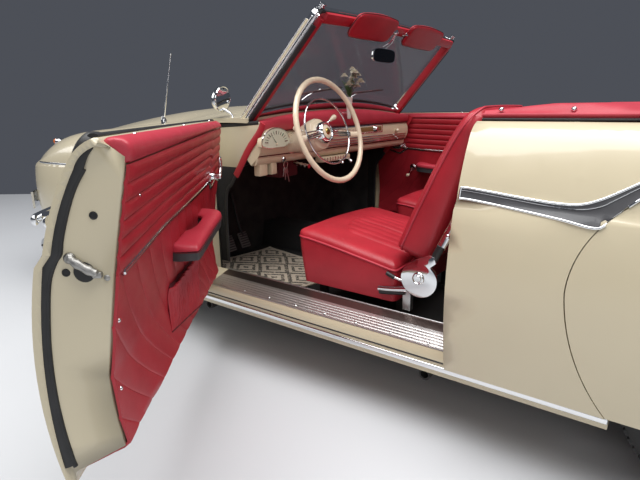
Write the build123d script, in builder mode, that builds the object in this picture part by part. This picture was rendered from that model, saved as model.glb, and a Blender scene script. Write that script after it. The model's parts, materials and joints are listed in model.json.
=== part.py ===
from build123d import *
import os
from math import asin, cos, degrees, hypot, radians, sin

os.makedirs("parts", exist_ok=True)

# A four-seat convertible car of the 1950s, hood folded, left door open.
# Frame: +X forward, +Y to the car's left, +Z up, origin on the ground midway between the axles.
# All sizes are in millimetres.

# Driving dimensions
wheelbase = 2600
track_front = 1346
track_rear = 1370
tyre_radius = 318
tyre_width = 150
bead_radius = 166
rim_width = 118
panel = 18
gap = 6
seat_gap = 0.3
floor_z = 238
floor_sheet = 12
front_axle = wheelbase / 2
rear_axle_x = -wheelbase / 2

# Door opening and hinges
door_front = 592
door_rear = -555.5
shut_face = -543
door_lip = 14
quarter_front = -562
fender_rear = 602
post_wall = 25
hinge_x = 597
hinge_y = 842
door_angle = 50.7
card_thickness = 9

# Panel joints along the car
cowl_front = 744
cowl_rear = 392
bonnet_front = 2058
deck_front = -1165
deck_rear = -1292
boot_rear = -2108
front_arch_radius = 366
front_arch_z = 330
steer_axis_y = 620

# Half cross-sections of the body side, left side, looking forward.
# Columns: x; seam y, z; roll end y, z; step top y, z; step foot y, z; sill y, z;
# bulge of the roll, of the shoulder and of the lower flank.
side_sections = [
    (-2190, 545, 752, 662, 782, 702, 722, 705, 712, 680, 420, 24, 5, 16),
    (-2100, 556, 806, 722, 822, 766, 738, 770, 726, 745, 372, 36, 6, 22),
    (-1900, 582, 878, 764, 852, 800, 750, 806, 734, 800, 300, 36, 6, 26),
    (-1300, 655, 948, 765, 893, 818, 758, 828, 738, 833, 250, 16, 6, 28),
    (-900, 688, 954, 757, 905, 817, 752, 833, 730, 836, 250, 9, 6, 28),
    (-560, 698, 955, 751, 911, 816, 749, 834, 726, 837, 250, 7, 6, 28),
    (597, 680, 950, 748, 903, 801, 745, 817, 722, 820, 252, 10, 6, 23),
    (1300, 596, 907, 784, 826, 808, 735, 818, 715, 817, 258, 26, 5, 21),
    (1800, 560, 842, 770, 766, 796, 712, 804, 700, 798, 300, 38, 4, 20),
    (1960, 540, 806, 744, 722, 770, 700, 776, 690, 766, 340, 34, 4, 18),
    (2040, 528, 774, 712, 708, 738, 692, 743, 684, 732, 390, 28, 4, 14),
    (2085, 520, 742, 680, 704, 704, 688, 709, 680, 698, 430, 16, 3, 10),
]


def side_value(x, column):
    """Value of one column of side_sections at x, straight between the sections."""
    for low, high in zip(side_sections, side_sections[1:]):
        if low[0] <= x <= high[0]:
            return low[column] + (high[column] - low[column]) * (x - low[0]) / (high[0] - low[0])
    return side_sections[0][column] if x < side_sections[0][0] else side_sections[-1][column]


def seam_y(x):
    return side_value(x, 1)


def seam_z(x):
    return side_value(x, 2)


def cross_plane(x):
    """Plane across the car at x, with its own x along +Y and its own y along +Z."""
    return Plane(origin=(x, 0, 0), x_dir=(0, 1, 0), z_dir=(1, 0, 0))


def side_loft(grow=0.0, inward=0.0, flange=0.0, drop=0.0, end_trim=0.0):
    """Solid body side, its outer face moved out by grow and its hidden faces by inward and drop."""
    wires = []
    for x, by, bz, ry, rz, sy, sz, ty, tz, ly, lz, roll, shoulder, flank in side_sections:
        x += end_trim * (x == side_sections[0][0]) - end_trim * (x == side_sections[-1][0])
        seam = (by - inward, bz + grow)
        inner_top = (by - inward - flange, bz + grow - 0.12 * flange)
        inner_foot = (by - inward - flange, lz - drop)
        roll_end = (ry + 0.7 * grow, rz + 0.7 * grow)
        with BuildSketch(cross_plane(x)) as section:
            with BuildLine():
                if flange:
                    Line(inner_top, seam)
                SagittaArc(seam, roll_end, roll)
                SagittaArc(roll_end, (sy + grow, sz), shoulder)
                Line((sy + grow, sz), (ty + grow, tz))
                SagittaArc((ty + grow, tz), (ly + grow, lz - drop), flank)
                Line((ly + grow, lz - drop), inner_foot)
                Line(inner_foot, inner_top)
            make_face()
        wires.append(section.sketch.face().outer_wire())
    return Solid.make_loft(wires)


def slab(x0, x1, y0=-1200, y1=1200, z0=-100, z1=1600):
    """Block between two stations, used to cut a body side at its panel joints."""
    with BuildPart() as block:
        with BuildSketch(Plane.XY.offset(z0)):
            with Locations(((x0 + x1) / 2, (y0 + y1) / 2)):
                Rectangle(x1 - x0, y1 - y0)
        extrude(amount=z1 - z0)
    return block.part


def write(piece, name):
    piece.part.label = name
    export_step(piece.part, f"parts/{name}.step")


side_outer = side_loft()
side_inner = side_loft(grow=-panel, inward=60, drop=60, end_trim=panel)
side_wide = side_loft(flange=84)
spat_ring = side_loft(grow=-panel - seat_gap, inward=60, drop=60, end_trim=panel) - side_loft(
    grow=-panel - seat_gap - 4, inward=60, drop=60, end_trim=panel + 4
)
side_lip = side_loft(grow=-door_lip, flange=120, drop=60)
side_solid = side_loft(grow=seat_gap, flange=400)
side_solid = Compound(children=[side_solid, side_solid.mirror(Plane.XZ)])
seam_side = side_loft(grow=60, inward=seat_gap)
seam_cutter = Compound(children=[seam_side, seam_side.mirror(Plane.XZ)])
trim_outer = side_loft(grow=6)
trim_inner = side_loft(grow=seat_gap)

# Front fenders, with the hinge post at the back and the wheel opening
with BuildPart() as front_fenders:
    add(side_outer & slab(fender_rear, 2200))
    add(side_inner & slab(fender_rear + post_wall, 2200), mode=Mode.SUBTRACT)
    with BuildSketch(cross_plane(fender_rear)):
        with Locations((668, (floor_z + 925) / 2)):
            Rectangle(56, 925 - floor_z)
    extrude(amount=post_wall)
    with BuildSketch(Plane.XZ.offset(-1000)):
        with Locations((front_axle, front_arch_z)):
            Circle(front_arch_radius)
        with Locations((front_axle, front_arch_z / 2 - 50)):
            Rectangle(2 * front_arch_radius, front_arch_z + 100)
    extrude(amount=1000, mode=Mode.SUBTRACT)

# Rear wheel opening, closed by a bolted spat
spat_low = 240
spat_reach = 442
spat_top = 836


def spat_outline(shrink):
    """Outline of the spat, drawn in the XZ plane, made smaller by shrink all round."""
    foot = 315 - shrink
    reach = spat_reach - shrink
    top = spat_top - shrink
    crown = 170
    left = [(rear_axle_x - foot, spat_low), (rear_axle_x - reach + 34, 405), (rear_axle_x - reach, 560)]
    high = [(rear_axle_x - reach, 560), (rear_axle_x - reach + 77, 750), (rear_axle_x - crown, top)]
    with BuildSketch(Plane.XZ.offset(-1000)) as outline:
        with BuildLine():
            ThreePointArc(*left)
            ThreePointArc(*high)
            Line((rear_axle_x - crown, top), (rear_axle_x + crown, top))
            ThreePointArc(*[(2 * rear_axle_x - x, z) for x, z in reversed(high)])
            ThreePointArc(*[(2 * rear_axle_x - x, z) for x, z in reversed(left)])
            Line((rear_axle_x + foot, spat_low), (rear_axle_x - foot, spat_low))
        make_face()
    return extrude(outline.sketch, amount=1000, mode=Mode.PRIVATE)


with BuildPart() as rear_quarters:
    add(side_outer & slab(-2300, quarter_front))
    add(side_inner & slab(-2300, quarter_front - post_wall), mode=Mode.SUBTRACT)
    with BuildSketch(cross_plane(quarter_front - post_wall)):
        with Locations((675, (floor_z + 930) / 2)):
            Rectangle(70, 930 - floor_z)
    extrude(amount=post_wall)
    add(spat_outline(0), mode=Mode.SUBTRACT)
    mirror(about=Plane.XZ)
write(rear_quarters, "rear_quarters")

spat_gap = 3
spat_lap = 12
with BuildPart() as wheel_spats:
    add((side_outer - side_inner) & spat_outline(spat_gap) & slab(-1800, -800, z0=252))
    # Flange that laps behind the edge of the opening, where the spat is bolted
    add((spat_ring & spat_outline(-spat_lap) & slab(-1800, -800, y0=690, z0=252)) - spat_outline(spat_lap))
    mirror(about=Plane.XZ)
write(wheel_spats, "wheel_spats")

# Doors: inner face and shut line, given at the rear and at the front edge of the door.
# Columns: x; ledge y; card top y, z; card middle y, z; card waist y; card foot y; lip y
door_sections = [
    (-560, 690, 645, 925, 692, 700, 724, 709, 826),
    (600, 670, 650, 948, 680, 705, 712, 697, 808),
]
waist_z = 500
card_foot_z = 340
door_foot_z = 256


def door_tool(thickness, hollow=0.0):
    """Everything outboard of the door's inner face, moved outboard by thickness under a top ledge."""
    wires = []
    for x, ledge, top_y, top_z, mid_y, mid_z, waist, foot, lip in door_sections:
        t = thickness
        shelf = ledge - hollow if t else top_y
        shelf_z = 958 - t if t else (1010 + top_z) / 2
        with BuildSketch(cross_plane(x)) as section:
            with BuildLine():
                Polyline((foot + t, card_foot_z), (lip, 281), (lip, door_foot_z), (980, door_foot_z))
                Polyline((980, door_foot_z), (980, 1010), (shelf, 1010), (shelf, shelf_z))
                Line((shelf, shelf_z), (top_y + t, top_z - t / 2))
                ThreePointArc((top_y + t, top_z - t / 2), (mid_y + t, mid_z), (waist + t, waist_z))
                ThreePointArc((waist + t, waist_z), (waist + t - 3, 420), (foot + t, card_foot_z))
            make_face()
        wires.append(section.sketch.face().outer_wire())
    return Solid.make_loft(wires, ruled=True)


def open_left(shape):
    return shape.rotate(Axis((hinge_x, hinge_y, 0), (0, 0, 1)), -door_angle)


# Hinge barrels on the axis at the front edge: the body's pair of leaves holds the door's leaf between them
barrel_radius = 4.5
leaf_height = 16
leaf_heights = (404, 580)


def hinge_leaves(reach, bottoms):
    """Leaves that run from the hinge axis by reach along X, with their barrels."""
    with BuildPart() as leaves:
        for bottom in bottoms:
            with BuildSketch(Plane.XY.offset(bottom)):
                with Locations((hinge_x, hinge_y)):
                    Circle(barrel_radius)
                with Locations((hinge_x + reach / 2, hinge_y - 10)):
                    Rectangle(abs(reach), 20)
            extrude(amount=leaf_height)
    return leaves.part


door_leaves = hinge_leaves(-14, leaf_heights)
body_leaves = hinge_leaves(
    14, [z + step for z in leaf_heights for step in (-leaf_height - seat_gap, leaf_height + seat_gap)]
)

door_blank = side_wide & slab(door_rear, door_front)
door_shell = (door_blank & door_tool(card_thickness)) - (side_lip & slab(-600, shut_face)) + door_leaves
card_blank = door_blank & slab(shut_face + 2, 560) & door_tool(0)
door_card = card_blank - door_tool(card_thickness - seat_gap, seat_gap)

with BuildPart() as door_fittings:
    # Trim strip along the crease
    with BuildSketch(Plane.XZ.offset(-1000)):
        with BuildLine():
            Polyline((-550, 782), (-550, 752), (586, 737), (586, 757), (-550, 782))
        make_face()
    extrude(amount=1000)
    add(trim_outer, mode=Mode.INTERSECT)
    add(trim_inner, mode=Mode.SUBTRACT)
with BuildPart() as outer_handle:
    with Locations((-455, 823, 800)):
        Cylinder(13, 60, rotation=(90, 0, 0))
    with BuildSketch(Plane.XZ.offset(-850)):
        with Locations((-395, 800)):
            SlotOverall(190, 24)
    extrude(amount=-12)
    add(trim_inner, mode=Mode.SUBTRACT)
# Curved lever on its rose, and the armrest pull with its finger hole against the card
lever_x = 378
lever_z = 762
lever_y = 634
lever_depth = 12
lever_width = 16
lever_arc = ThreePointArc(
    (lever_x, lever_z - 2), (lever_x + 56, lever_z + 4), (lever_x + 76, lever_z + 52), mode=Mode.PRIVATE
)
rest_rear = (-120, 626, 612)
rest_rise = 3.2
rest_thickness = 29
rest_length = 404
rest_hole_x = 252
rest_tilt = (-sin(radians(rest_rise)), 0, cos(radians(rest_rise)))
rest_along = (rest_tilt[2], 0, -rest_tilt[0])
rest_plane = Plane(origin=(rest_rear[0], 0, rest_rear[2]), x_dir=rest_along, z_dir=rest_tilt)
with BuildPart() as inner_hardware:
    with Locations((lever_x, lever_y + 32, lever_z)):
        Cylinder(20, 60, rotation=(90, 0, 0))
    with BuildSketch(Plane.XZ.offset(-lever_y - lever_depth)):
        SlotArc(lever_arc, lever_width)
    extrude(amount=lever_depth)
    with BuildSketch(rest_plane) as rest_plan:
        with BuildLine():
            Polyline((0, 760), (0, rest_rear[1]), (rest_length - 34, rest_rear[1] - 10))
            Polyline((rest_length - 34, rest_rear[1] - 10), (rest_length, 660), (rest_length, 760), (0, 760))
        make_face()
        fillet(rest_plan.vertices().sort_by(Axis.Y)[0:3], 14)
        with Locations((rest_hole_x, 697)):
            SlotOverall(166, 48, mode=Mode.SUBTRACT)
    extrude(amount=rest_thickness)
    add(door_tool(-seat_gap), mode=Mode.SUBTRACT)

door_trim_solids = door_fittings.part.solids() + outer_handle.part.solids() + inner_hardware.part.solids()

with BuildPart() as hinged_fenders:
    add(front_fenders.part)
    add(body_leaves)
    mirror(about=Plane.XZ)
write(hinged_fenders, "front_fenders")

for side, suffix, place in ((1, "left", open_left), (-1, "right", lambda shape: shape.mirror(Plane.XZ))):
    for shape, name in (
        (door_shell, "shell"),
        (door_card, "card"),
        (Compound(children=door_trim_solids), "trim"),
    ):
        with BuildPart() as door_part:
            add(place(shape))
        write(door_part, f"door_{suffix}_{name}")


def arched_loft(rows, thickness, lift=0.0, flat_below=None):
    """Shell with an arched top, lofted along the car.
    Rows hold x, half width, edge z and centre z."""
    wires = []
    for x, half, edge, centre in rows:
        high = edge + lift
        low = edge - thickness
        with BuildSketch(cross_plane(x)) as section:
            with BuildLine():
                ThreePointArc((-half, high), (0, centre + lift), (half, high))
                if flat_below is None:
                    Line((half, high), (half, low))
                    ThreePointArc((half, low), (0, centre - thickness), (-half, low))
                    Line((-half, low), (-half, high))
                else:
                    Polyline((half, high), (half, flat_below), (-half, flat_below), (-half, high))
            make_face()
        wires.append(section.sketch.face().outer_wire())
    return Solid.make_loft(wires)


# Top panels between the two body sides
# Columns: x, height of the centre line
bonnet_crown = [(cowl_front + gap, 1009), (1066, 1004), (1415, 975), (1721, 932), (1960, 876)]
bonnet_crown += [(bonnet_front, 838)]
boot_crown = [(deck_rear - gap, 966), (-1500, 950), (-1750, 908), (-1950, 846), (boot_rear, 782)]
cowl_crown = [(cowl_rear, 990), (560, 1003), (cowl_front, 1009)]
deck_crown = [(deck_front, 966), (-1230, 967), (deck_rear, 966)]


def crown_rows(crown, joint=gap):
    return [(x, seam_y(x) - joint, seam_z(x), centre) for x, centre in crown]


# A panel that is fixed between the body sides is drawn wider and trimmed to a closed seam
fixed_joint = -4


with BuildPart() as bonnet:
    add(arched_loft(crown_rows(bonnet_crown), panel))
write(bonnet, "bonnet")

with BuildPart() as boot_lid:
    add(arched_loft(crown_rows(boot_crown), panel))
write(boot_lid, "boot_lid")

with BuildPart() as rear_deck:
    add(arched_loft(crown_rows(deck_crown, fixed_joint), panel))
    add(seam_cutter, mode=Mode.SUBTRACT)
write(rear_deck, "rear_deck")

cowl_side = 640
with BuildPart() as cowl:
    add(arched_loft(crown_rows(cowl_crown, fixed_joint), panel))
    add(seam_cutter, mode=Mode.SUBTRACT)
    for side in (1, -1):
        with BuildSketch(Plane.XY.offset(800)):
            with Locations(((cowl_rear + fender_rear - gap) / 2 - 10, side * (cowl_side + 40))):
                Rectangle(fender_rear - gap - cowl_rear + 20, 80)
        extrude(amount=300, mode=Mode.SUBTRACT)
write(cowl, "cowl")

# Windscreen: a leaning frame that bows forward, standing on the cowl
screen_foot = (410, 626, 958)
screen_top = (65, 592, 1326)
screen_height = hypot(screen_foot[0] - screen_top[0], screen_top[2] - screen_foot[2])
screen_bow = 24
screen_up = (
    (screen_top[0] - screen_foot[0]) / screen_height,
    0,
    (screen_top[2] - screen_foot[2]) / screen_height,
)
# Own x along +Y, own y backwards out of the glass, own z up the glass
screen_base = Plane(origin=(screen_foot[0], 0, screen_foot[2]), x_dir=(0, 1, 0), z_dir=screen_up)
# Own x along +Y, own y up the glass, facing forwards
screen_face = Plane(origin=(screen_foot[0], 0, screen_foot[2]), x_dir=(0, 1, 0), z_dir=-screen_base.y_dir)
frame_depth = 34
glass_depth = 5
pillar_width = 34
rail_width = 30
sill_rise = 42
header_width = 30


def bowed_sheet(depth, foot=-60, top=620, shift=0.0):
    """Sheet that follows the bow of the glass, as deep as given."""
    half = screen_foot[1]
    rows = [shift - depth / 2, shift + depth / 2]
    with BuildSketch(screen_base.offset(foot)) as plan:
        with BuildLine():
            ThreePointArc((-half, rows[0]), (0, rows[0] - screen_bow), (half, rows[0]))
            Line((half, rows[0]), (half, rows[1]))
            ThreePointArc((half, rows[1]), (0, rows[1] - screen_bow), (-half, rows[1]))
            Line((-half, rows[1]), (-half, rows[0]))
        make_face()
    return extrude(plan.sketch, amount=top - foot, mode=Mode.PRIVATE)


def screen_prism(inset_side, inset_top, foot, corner):
    """Outline of the windscreen in its own face, inset from the frame's outer edge."""
    foot_y = screen_foot[1] - inset_side
    top_y = screen_top[1] - inset_side
    with BuildSketch(screen_face.offset(-200)) as outline:
        with BuildLine():
            ThreePointArc((-foot_y, foot), (0, foot + sill_rise), (foot_y, foot))
            Line((foot_y, foot), (top_y, screen_height - inset_top))
            Line((top_y, screen_height - inset_top), (-top_y, screen_height - inset_top))
            Line((-top_y, screen_height - inset_top), (-foot_y, foot))
        make_face()
        fillet(outline.vertices().group_by(Axis.Z)[-1], corner)
    return extrude(outline.sketch, amount=400, mode=Mode.PRIVATE)


cowl_block = arched_loft(crown_rows(cowl_crown, fixed_joint), panel, lift=seat_gap, flat_below=700)

with BuildPart() as windscreen_frame:
    add(bowed_sheet(frame_depth) & screen_prism(0, 0, -40, 34))
    add(screen_prism(pillar_width, header_width, rail_width, 22), mode=Mode.SUBTRACT)
    add(cowl_block, mode=Mode.SUBTRACT)
write(windscreen_frame, "windscreen_frame")

with BuildPart() as windscreen_glass:
    add(bowed_sheet(glass_depth))
    add(
        screen_prism(pillar_width + seat_gap, header_width + seat_gap, rail_width + seat_gap, 22),
        mode=Mode.INTERSECT,
    )
write(windscreen_glass, "windscreen_glass")


def lid_rests(x, crown, reach):
    """Rests for the front of a closed lid, on both sides of its centre and just under its skin."""
    with BuildPart() as rests:
        with BuildSketch(Plane.XY.offset(seam_z(x) - 34)):
            with Locations((x, 300), (x, -300)):
                Rectangle(reach, 40)
        extrude(amount=140)
        add(arched_loft(crown_rows(crown), panel + seat_gap, lift=160), mode=Mode.SUBTRACT)
    return rests.part


# Irons that carry both bumpers
iron_y = 300
iron_width = 40
iron_height = 26
iron_drop = 46
front_bumper_z = 492
rear_bumper_z = 456


def iron_slots(z):
    """Clearance holes for a pair of bumper irons, running along the car."""
    with BuildSketch(Plane.YZ.offset(-2400)) as slots:
        with Locations((iron_y, z - iron_drop + iron_height / 2), (-iron_y, z - iron_drop + iron_height / 2)):
            Rectangle(iron_width + 2 * seat_gap, iron_height + 2 * seat_gap)
    return extrude(slots.sketch, amount=4800, mode=Mode.PRIVATE)


# Nose between the fenders, with the grille's mouth
nose_front = 2112
mouth_half = 430
mouth_low = 480
mouth_high = 726
nose_half = 524
nose_rows = [(-nose_half, -14, -22), (0, 0, 0), (nose_half, -14, -22)]


def nose_loft(grow):
    wires = []
    for y, back, down in nose_rows:
        with BuildSketch(Plane(origin=(0, y, 0), x_dir=(1, 0, 0), z_dir=(0, -1, 0))) as section:
            edge_z = seam_z(bonnet_front)
            top = (bonnet_front + gap + 0.5 * grow, bonnet_crown[-1][1] if y == 0 else edge_z)
            brow = (nose_front - 24 + back - grow, top[1] - 44)
            front = (nose_front + back - grow, 640 + down)
            foot = (nose_front - 40 + back - grow, 418)
            with BuildLine():
                Polyline(foot, (bonnet_front - 30 + grow, 418), (bonnet_front - 30 + grow, 520))
                Line((bonnet_front - 30 + grow, 520), (top[0], top[1] - 90))
                Line((top[0], top[1] - 90), (top[0], top[1] - grow))
                ThreePointArc((top[0], top[1] - grow), brow, front)
                Line(front, foot)
            make_face()
        wires.append(section.sketch.face().outer_wire())
    return Solid.make_loft(wires)


with BuildPart() as nose_panel:
    add(nose_loft(0))
    with BuildSketch(Plane.YZ.offset(1900)):
        with Locations((0, (mouth_low + mouth_high) / 2)):
            RectangleRounded(2 * mouth_half, mouth_high - mouth_low, 90)
    extrude(amount=400, mode=Mode.SUBTRACT)
    add(iron_slots(front_bumper_z), mode=Mode.SUBTRACT)
    add(seam_cutter, mode=Mode.SUBTRACT)
    add(lid_rests(2048, bonnet_crown, 28), mode=Mode.ADD)
write(nose_panel, "nose_panel")

bar_count = 11
bar_pitch = (mouth_high - mouth_low) / (bar_count + 1)
with BuildPart() as grille:
    with BuildSketch(Plane.YZ.offset(2046)):
        with Locations((0, (mouth_low + mouth_high) / 2)):
            RectangleRounded(2 * mouth_half - 0.6, mouth_high - mouth_low - 0.6, 89.7)
            RectangleRounded(2 * mouth_half - 36, mouth_high - mouth_low - 36, 72, mode=Mode.SUBTRACT)
    extrude(amount=62)
    with BuildSketch(Plane.YZ.offset(2056)):
        for i in range(1, bar_count):
            with Locations((0, mouth_low + bar_pitch * (i + 0.5))):
                Rectangle(2 * mouth_half - 20, 7)
        with Locations((-290, 603), (-145, 603), (0, 603), (145, 603), (290, 603)):
            Rectangle(8, mouth_high - mouth_low - 20)
    extrude(amount=26)
    with BuildSketch(Plane.YZ.offset(2040)):
        with Locations((0, (mouth_low + mouth_high) / 2)):
            RectangleRounded(2 * mouth_half - 0.6, mouth_high - mouth_low - 0.6, 89.7)
    extrude(amount=90, mode=Mode.INTERSECT)
write(grille, "grille")

# Tail between the rear fenders
with BuildPart() as tail_panel:
    tail_wires = []
    for y, back, top_z in ((-552, 26, 752), (0, 0, 780), (552, 26, 752)):
        with BuildSketch(Plane(origin=(0, y, 0), x_dir=(1, 0, 0), z_dir=(0, -1, 0))) as section:
            with BuildLine():
                ThreePointArc((boot_rear - gap, top_z), (-2168 + back, top_z - 40), (-2196 + back, 640))
                Polyline((-2196 + back, 640), (-2176 + back, 404), (-2150 + back, 404))
                Polyline((-2150 + back, 404), (-2166 + back, 640), (boot_rear - gap, top_z - 40))
                Line((boot_rear - gap, top_z - 40), (boot_rear - gap, top_z))
            make_face()
        tail_wires.append(section.sketch.face().outer_wire())
    add(Solid.make_loft(tail_wires))
    add(iron_slots(rear_bumper_z), mode=Mode.SUBTRACT)
    add(seam_cutter, mode=Mode.SUBTRACT)
    add(lid_rests(-2104, boot_crown, 30))
write(tail_panel, "tail_panel")

# Floor: cabin, step up over the axle and boot floor, with the tunnel
firewall_x = 862
tunnel_half = 95
tunnel_top = 372
floor_half = 680
with BuildPart() as floor_pan:
    with BuildSketch(Plane.XZ.offset(-floor_half)):
        with BuildLine():
            Polyline(
                (firewall_x - floor_sheet / 2 - seat_gap, floor_z - floor_sheet / 2),
                (-640, floor_z - floor_sheet / 2),
                (-690, 372),
                (-980, 372),
                (-1060, 520),
                (-1540, 520),
                (-1640, 330),
                (-2120, 330),
            )
            offset(amount=floor_sheet / 2, side=Side.BOTH)
        make_face()
    extrude(amount=2 * floor_half)
    with BuildSketch(cross_plane(-660)):
        with BuildLine():
            Polyline((-tunnel_half, 226), (-70, tunnel_top), (70, tunnel_top), (tunnel_half, 226))
            Line((tunnel_half, 226), (-tunnel_half, 226))
        make_face()
    extrude(amount=1520)
    with BuildSketch(cross_plane(-760)):
        with BuildLine():
            Polyline((-84, 200), (-60, tunnel_top - 10), (60, tunnel_top - 10), (84, 200), (-84, 200))
        make_face()
    extrude(amount=1640, mode=Mode.SUBTRACT)
    with BuildSketch(Plane.XY.offset(100)):
        for side in (1, -1):
            with Locations((-1300, side * 690)):
                Rectangle(700, 200)
            with Locations((-1900, side * 700)):
                Rectangle(600, 200)
    extrude(amount=600, mode=Mode.SUBTRACT)
write(floor_pan, "floor_pan")

# Bulkhead behind the engine, with the kick panels at its ends and a hole for the steering column
plenum_x = 728
column_tilt = 17.2
wheel_hub = (137, 423, 906)
column_dir = (cos(radians(column_tilt)), 0, -sin(radians(column_tilt)))
column_radius = 21
column_plane = Plane(origin=wheel_hub, x_dir=(0, 1, 0), z_dir=column_dir)
with BuildPart() as firewall:
    with BuildSketch(cross_plane(firewall_x)):
        with BuildLine():
            Polyline((-640, floor_z - 12), (-640, 870), (-560, 900), (560, 900), (640, 870))
            Polyline((640, 870), (640, floor_z - 12), (-640, floor_z - 12))
        make_face()
    extrude(amount=14)
    # Shelf back to the cowl's front edge, with an upstand under it
    with BuildSketch(Plane.XY.offset(886)):
        with Locations(((plenum_x + firewall_x) / 2, 0)):
            Rectangle(firewall_x - plenum_x, 1120)
    extrude(amount=14)
    with BuildSketch(cross_plane(plenum_x)):
        with Locations((0, 960)):
            Rectangle(1120, 130)
    extrude(amount=12)
    add(arched_loft(crown_rows(cowl_crown), panel + seat_gap, lift=160), mode=Mode.SUBTRACT)
    for side in (1, -1):
        with BuildSketch(Plane.XY.offset(floor_z + 1)):
            with Locations(((fender_rear + firewall_x) / 2 + 1, side * (640 - seat_gap - 6))):
                Rectangle(firewall_x - fender_rear, 12)
        extrude(amount=660)
    with BuildSketch(column_plane):
        Circle(column_radius + 9)
    extrude(amount=1000, mode=Mode.SUBTRACT)
    with BuildSketch(cross_plane(firewall_x - 10)):
        with BuildLine():
            Polyline((-84, 200), (-60, tunnel_top - 10), (60, tunnel_top - 10), (84, 200), (-84, 200))
        make_face()
    extrude(amount=40, mode=Mode.SUBTRACT)

# Engine bay sides, from the wheel housings up to the fender edge
with BuildPart() as inner_wings:
    wing_wires = []
    for x in (966, 1400, 2010):
        top = (seam_y(x) - 10, seam_z(x) - 38)
        with BuildSketch(cross_plane(x)) as section:
            with BuildLine():
                Polyline(top, (412, top[1] - 60), (408, 440), (398, 440), (398, top[1] - 52))
                Polyline((398, top[1] - 52), (top[0], top[1] + 9), top)
            make_face()
        wing_wires.append(section.sketch.face().outer_wire())
    add(Solid.make_loft(wing_wires, ruled=True))
    mirror(about=Plane.XZ)

with BuildPart() as bulkheads:
    add(firewall.part)
    add(inner_wings.part)
write(bulkheads, "bulkheads")

# Dashboard under the cowl, with a padded roll along its top
dash_half = 628
dash_face = 336
with BuildPart() as dashboard:
    with BuildSketch(Plane.XZ.offset(-dash_half)):
        with BuildLine():
            ThreePointArc((dash_face + 6, 902), (dash_face - 6, 858), (dash_face + 18, 800))
            ThreePointArc((dash_face + 18, 800), (dash_face + 30, 772), (dash_face + 54, 768))
            Line((dash_face + 54, 768), (cowl_rear + 28, 800))
            Line((cowl_rear + 28, 800), (cowl_rear + 28, 902))
            Line((cowl_rear + 28, 902), (dash_face + 6, 902))
        make_face()
    extrude(amount=2 * dash_half)
    with BuildSketch(column_plane):
        Circle(column_radius + seat_gap)
    extrude(amount=400, mode=Mode.SUBTRACT)
write(dashboard, "dashboard")

roll_back = cowl_rear - seat_gap
with BuildPart() as dash_roll:
    roll_wires = []
    for y, top in ((-dash_half, 944), (0, 986), (dash_half, 944)):
        with BuildSketch(Plane(origin=(0, y, 0), x_dir=(1, 0, 0), z_dir=(0, -1, 0))) as section:
            with BuildLine():
                lip = (dash_face + 4, 902.3)
                Polyline(lip, (roll_back, 902.3), (roll_back, top - 4))
                ThreePointArc((roll_back, top - 4), (dash_face - 12, (top + 902) / 2 + 8), lip)
            make_face()
        roll_wires.append(section.sketch.face().outer_wire())
    add(Solid.make_loft(roll_wires))
write(dash_roll, "dash_roll")

# Rocker sills with their tread plates and chrome strips
sill_rear = -984
sill_front = 928
sill_inner = floor_half + seat_gap
with BuildPart() as rocker_sills:
    with BuildSketch(cross_plane(sill_rear)):
        with BuildLine():
            Polyline((sill_inner, 316), (794, 282), (803, 262), (803, 204))
            Polyline((803, 204), (sill_inner, 204), (sill_inner, 316))
        make_face()
    extrude(amount=sill_front - sill_rear)
    for x0, x1 in ((sill_rear - 2, quarter_front + 8), (fender_rear - 8, sill_front + 2)):
        with BuildSketch(Plane.XY.offset(236)):
            with Locations(((x0 + x1) / 2, 735)):
                Rectangle(x1 - x0, 200)
        extrude(amount=120, mode=Mode.SUBTRACT)
    mirror(about=Plane.XZ)
write(rocker_sills, "rocker_sills")

tread_rear = -546
tread_front = 500
with BuildPart() as tread_plates:
    with BuildSketch(cross_plane(tread_rear)):
        with BuildLine():
            Polyline((floor_half + 4, 316.2), (793, 282.9), (794, 286), (floor_half + 5, 319.5))
            Line((floor_half + 5, 319.5), (floor_half + 4, 316.2))
        make_face()
    extrude(amount=tread_front - tread_rear)

# Body trim: the strip along the crease, the dipping band on the quarter and the strip along the sill
band_upper = [(-570, 785), (-604, 784), (-760, 770), (-828, 767), (-870, 771), (-909, 787), (-945, 808)]
band_upper += [(-985, 832), (-1045, 858), (-1130, 874), (-1300, 882), (-1700, 862), (-2090, 818)]
band_lower = [(-2090, 808), (-1700, 846), (-1300, 860), (-1130, 850), (-1050, 830), (-984, 795)]
band_lower += [(-933, 746), (-906, 722), (-831, 732), (-739, 742), (-604, 755), (-570, 756)]
with BuildPart() as side_band:
    with BuildSketch(Plane.XZ.offset(-1000)):
        with BuildLine():
            Polyline(*band_upper, *band_lower, band_upper[0])
        make_face()
    extrude(amount=300)
    add(trim_outer, mode=Mode.INTERSECT)
    add(trim_inner, mode=Mode.SUBTRACT)
with BuildPart() as fender_strip:
    with BuildSketch(Plane.XZ.offset(-1000)):
        with BuildLine():
            Polyline((fender_rear, 757), (fender_rear, 737), (1900, 712), (1900, 722), (fender_rear, 757))
        make_face()
    extrude(amount=1000)
    add(trim_outer, mode=Mode.INTERSECT)
    add(trim_inner, mode=Mode.SUBTRACT)
with BuildPart() as body_trim:
    add(side_band.part)
    add(fender_strip.part)
    add(tread_plates.part)
    with BuildSketch(cross_plane(sill_rear)):
        with Locations((807, 229)):
            Rectangle(7, 16)
    extrude(amount=sill_front - sill_rear)
    mirror(about=Plane.XZ)
write(body_trim, "body_trim")

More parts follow.
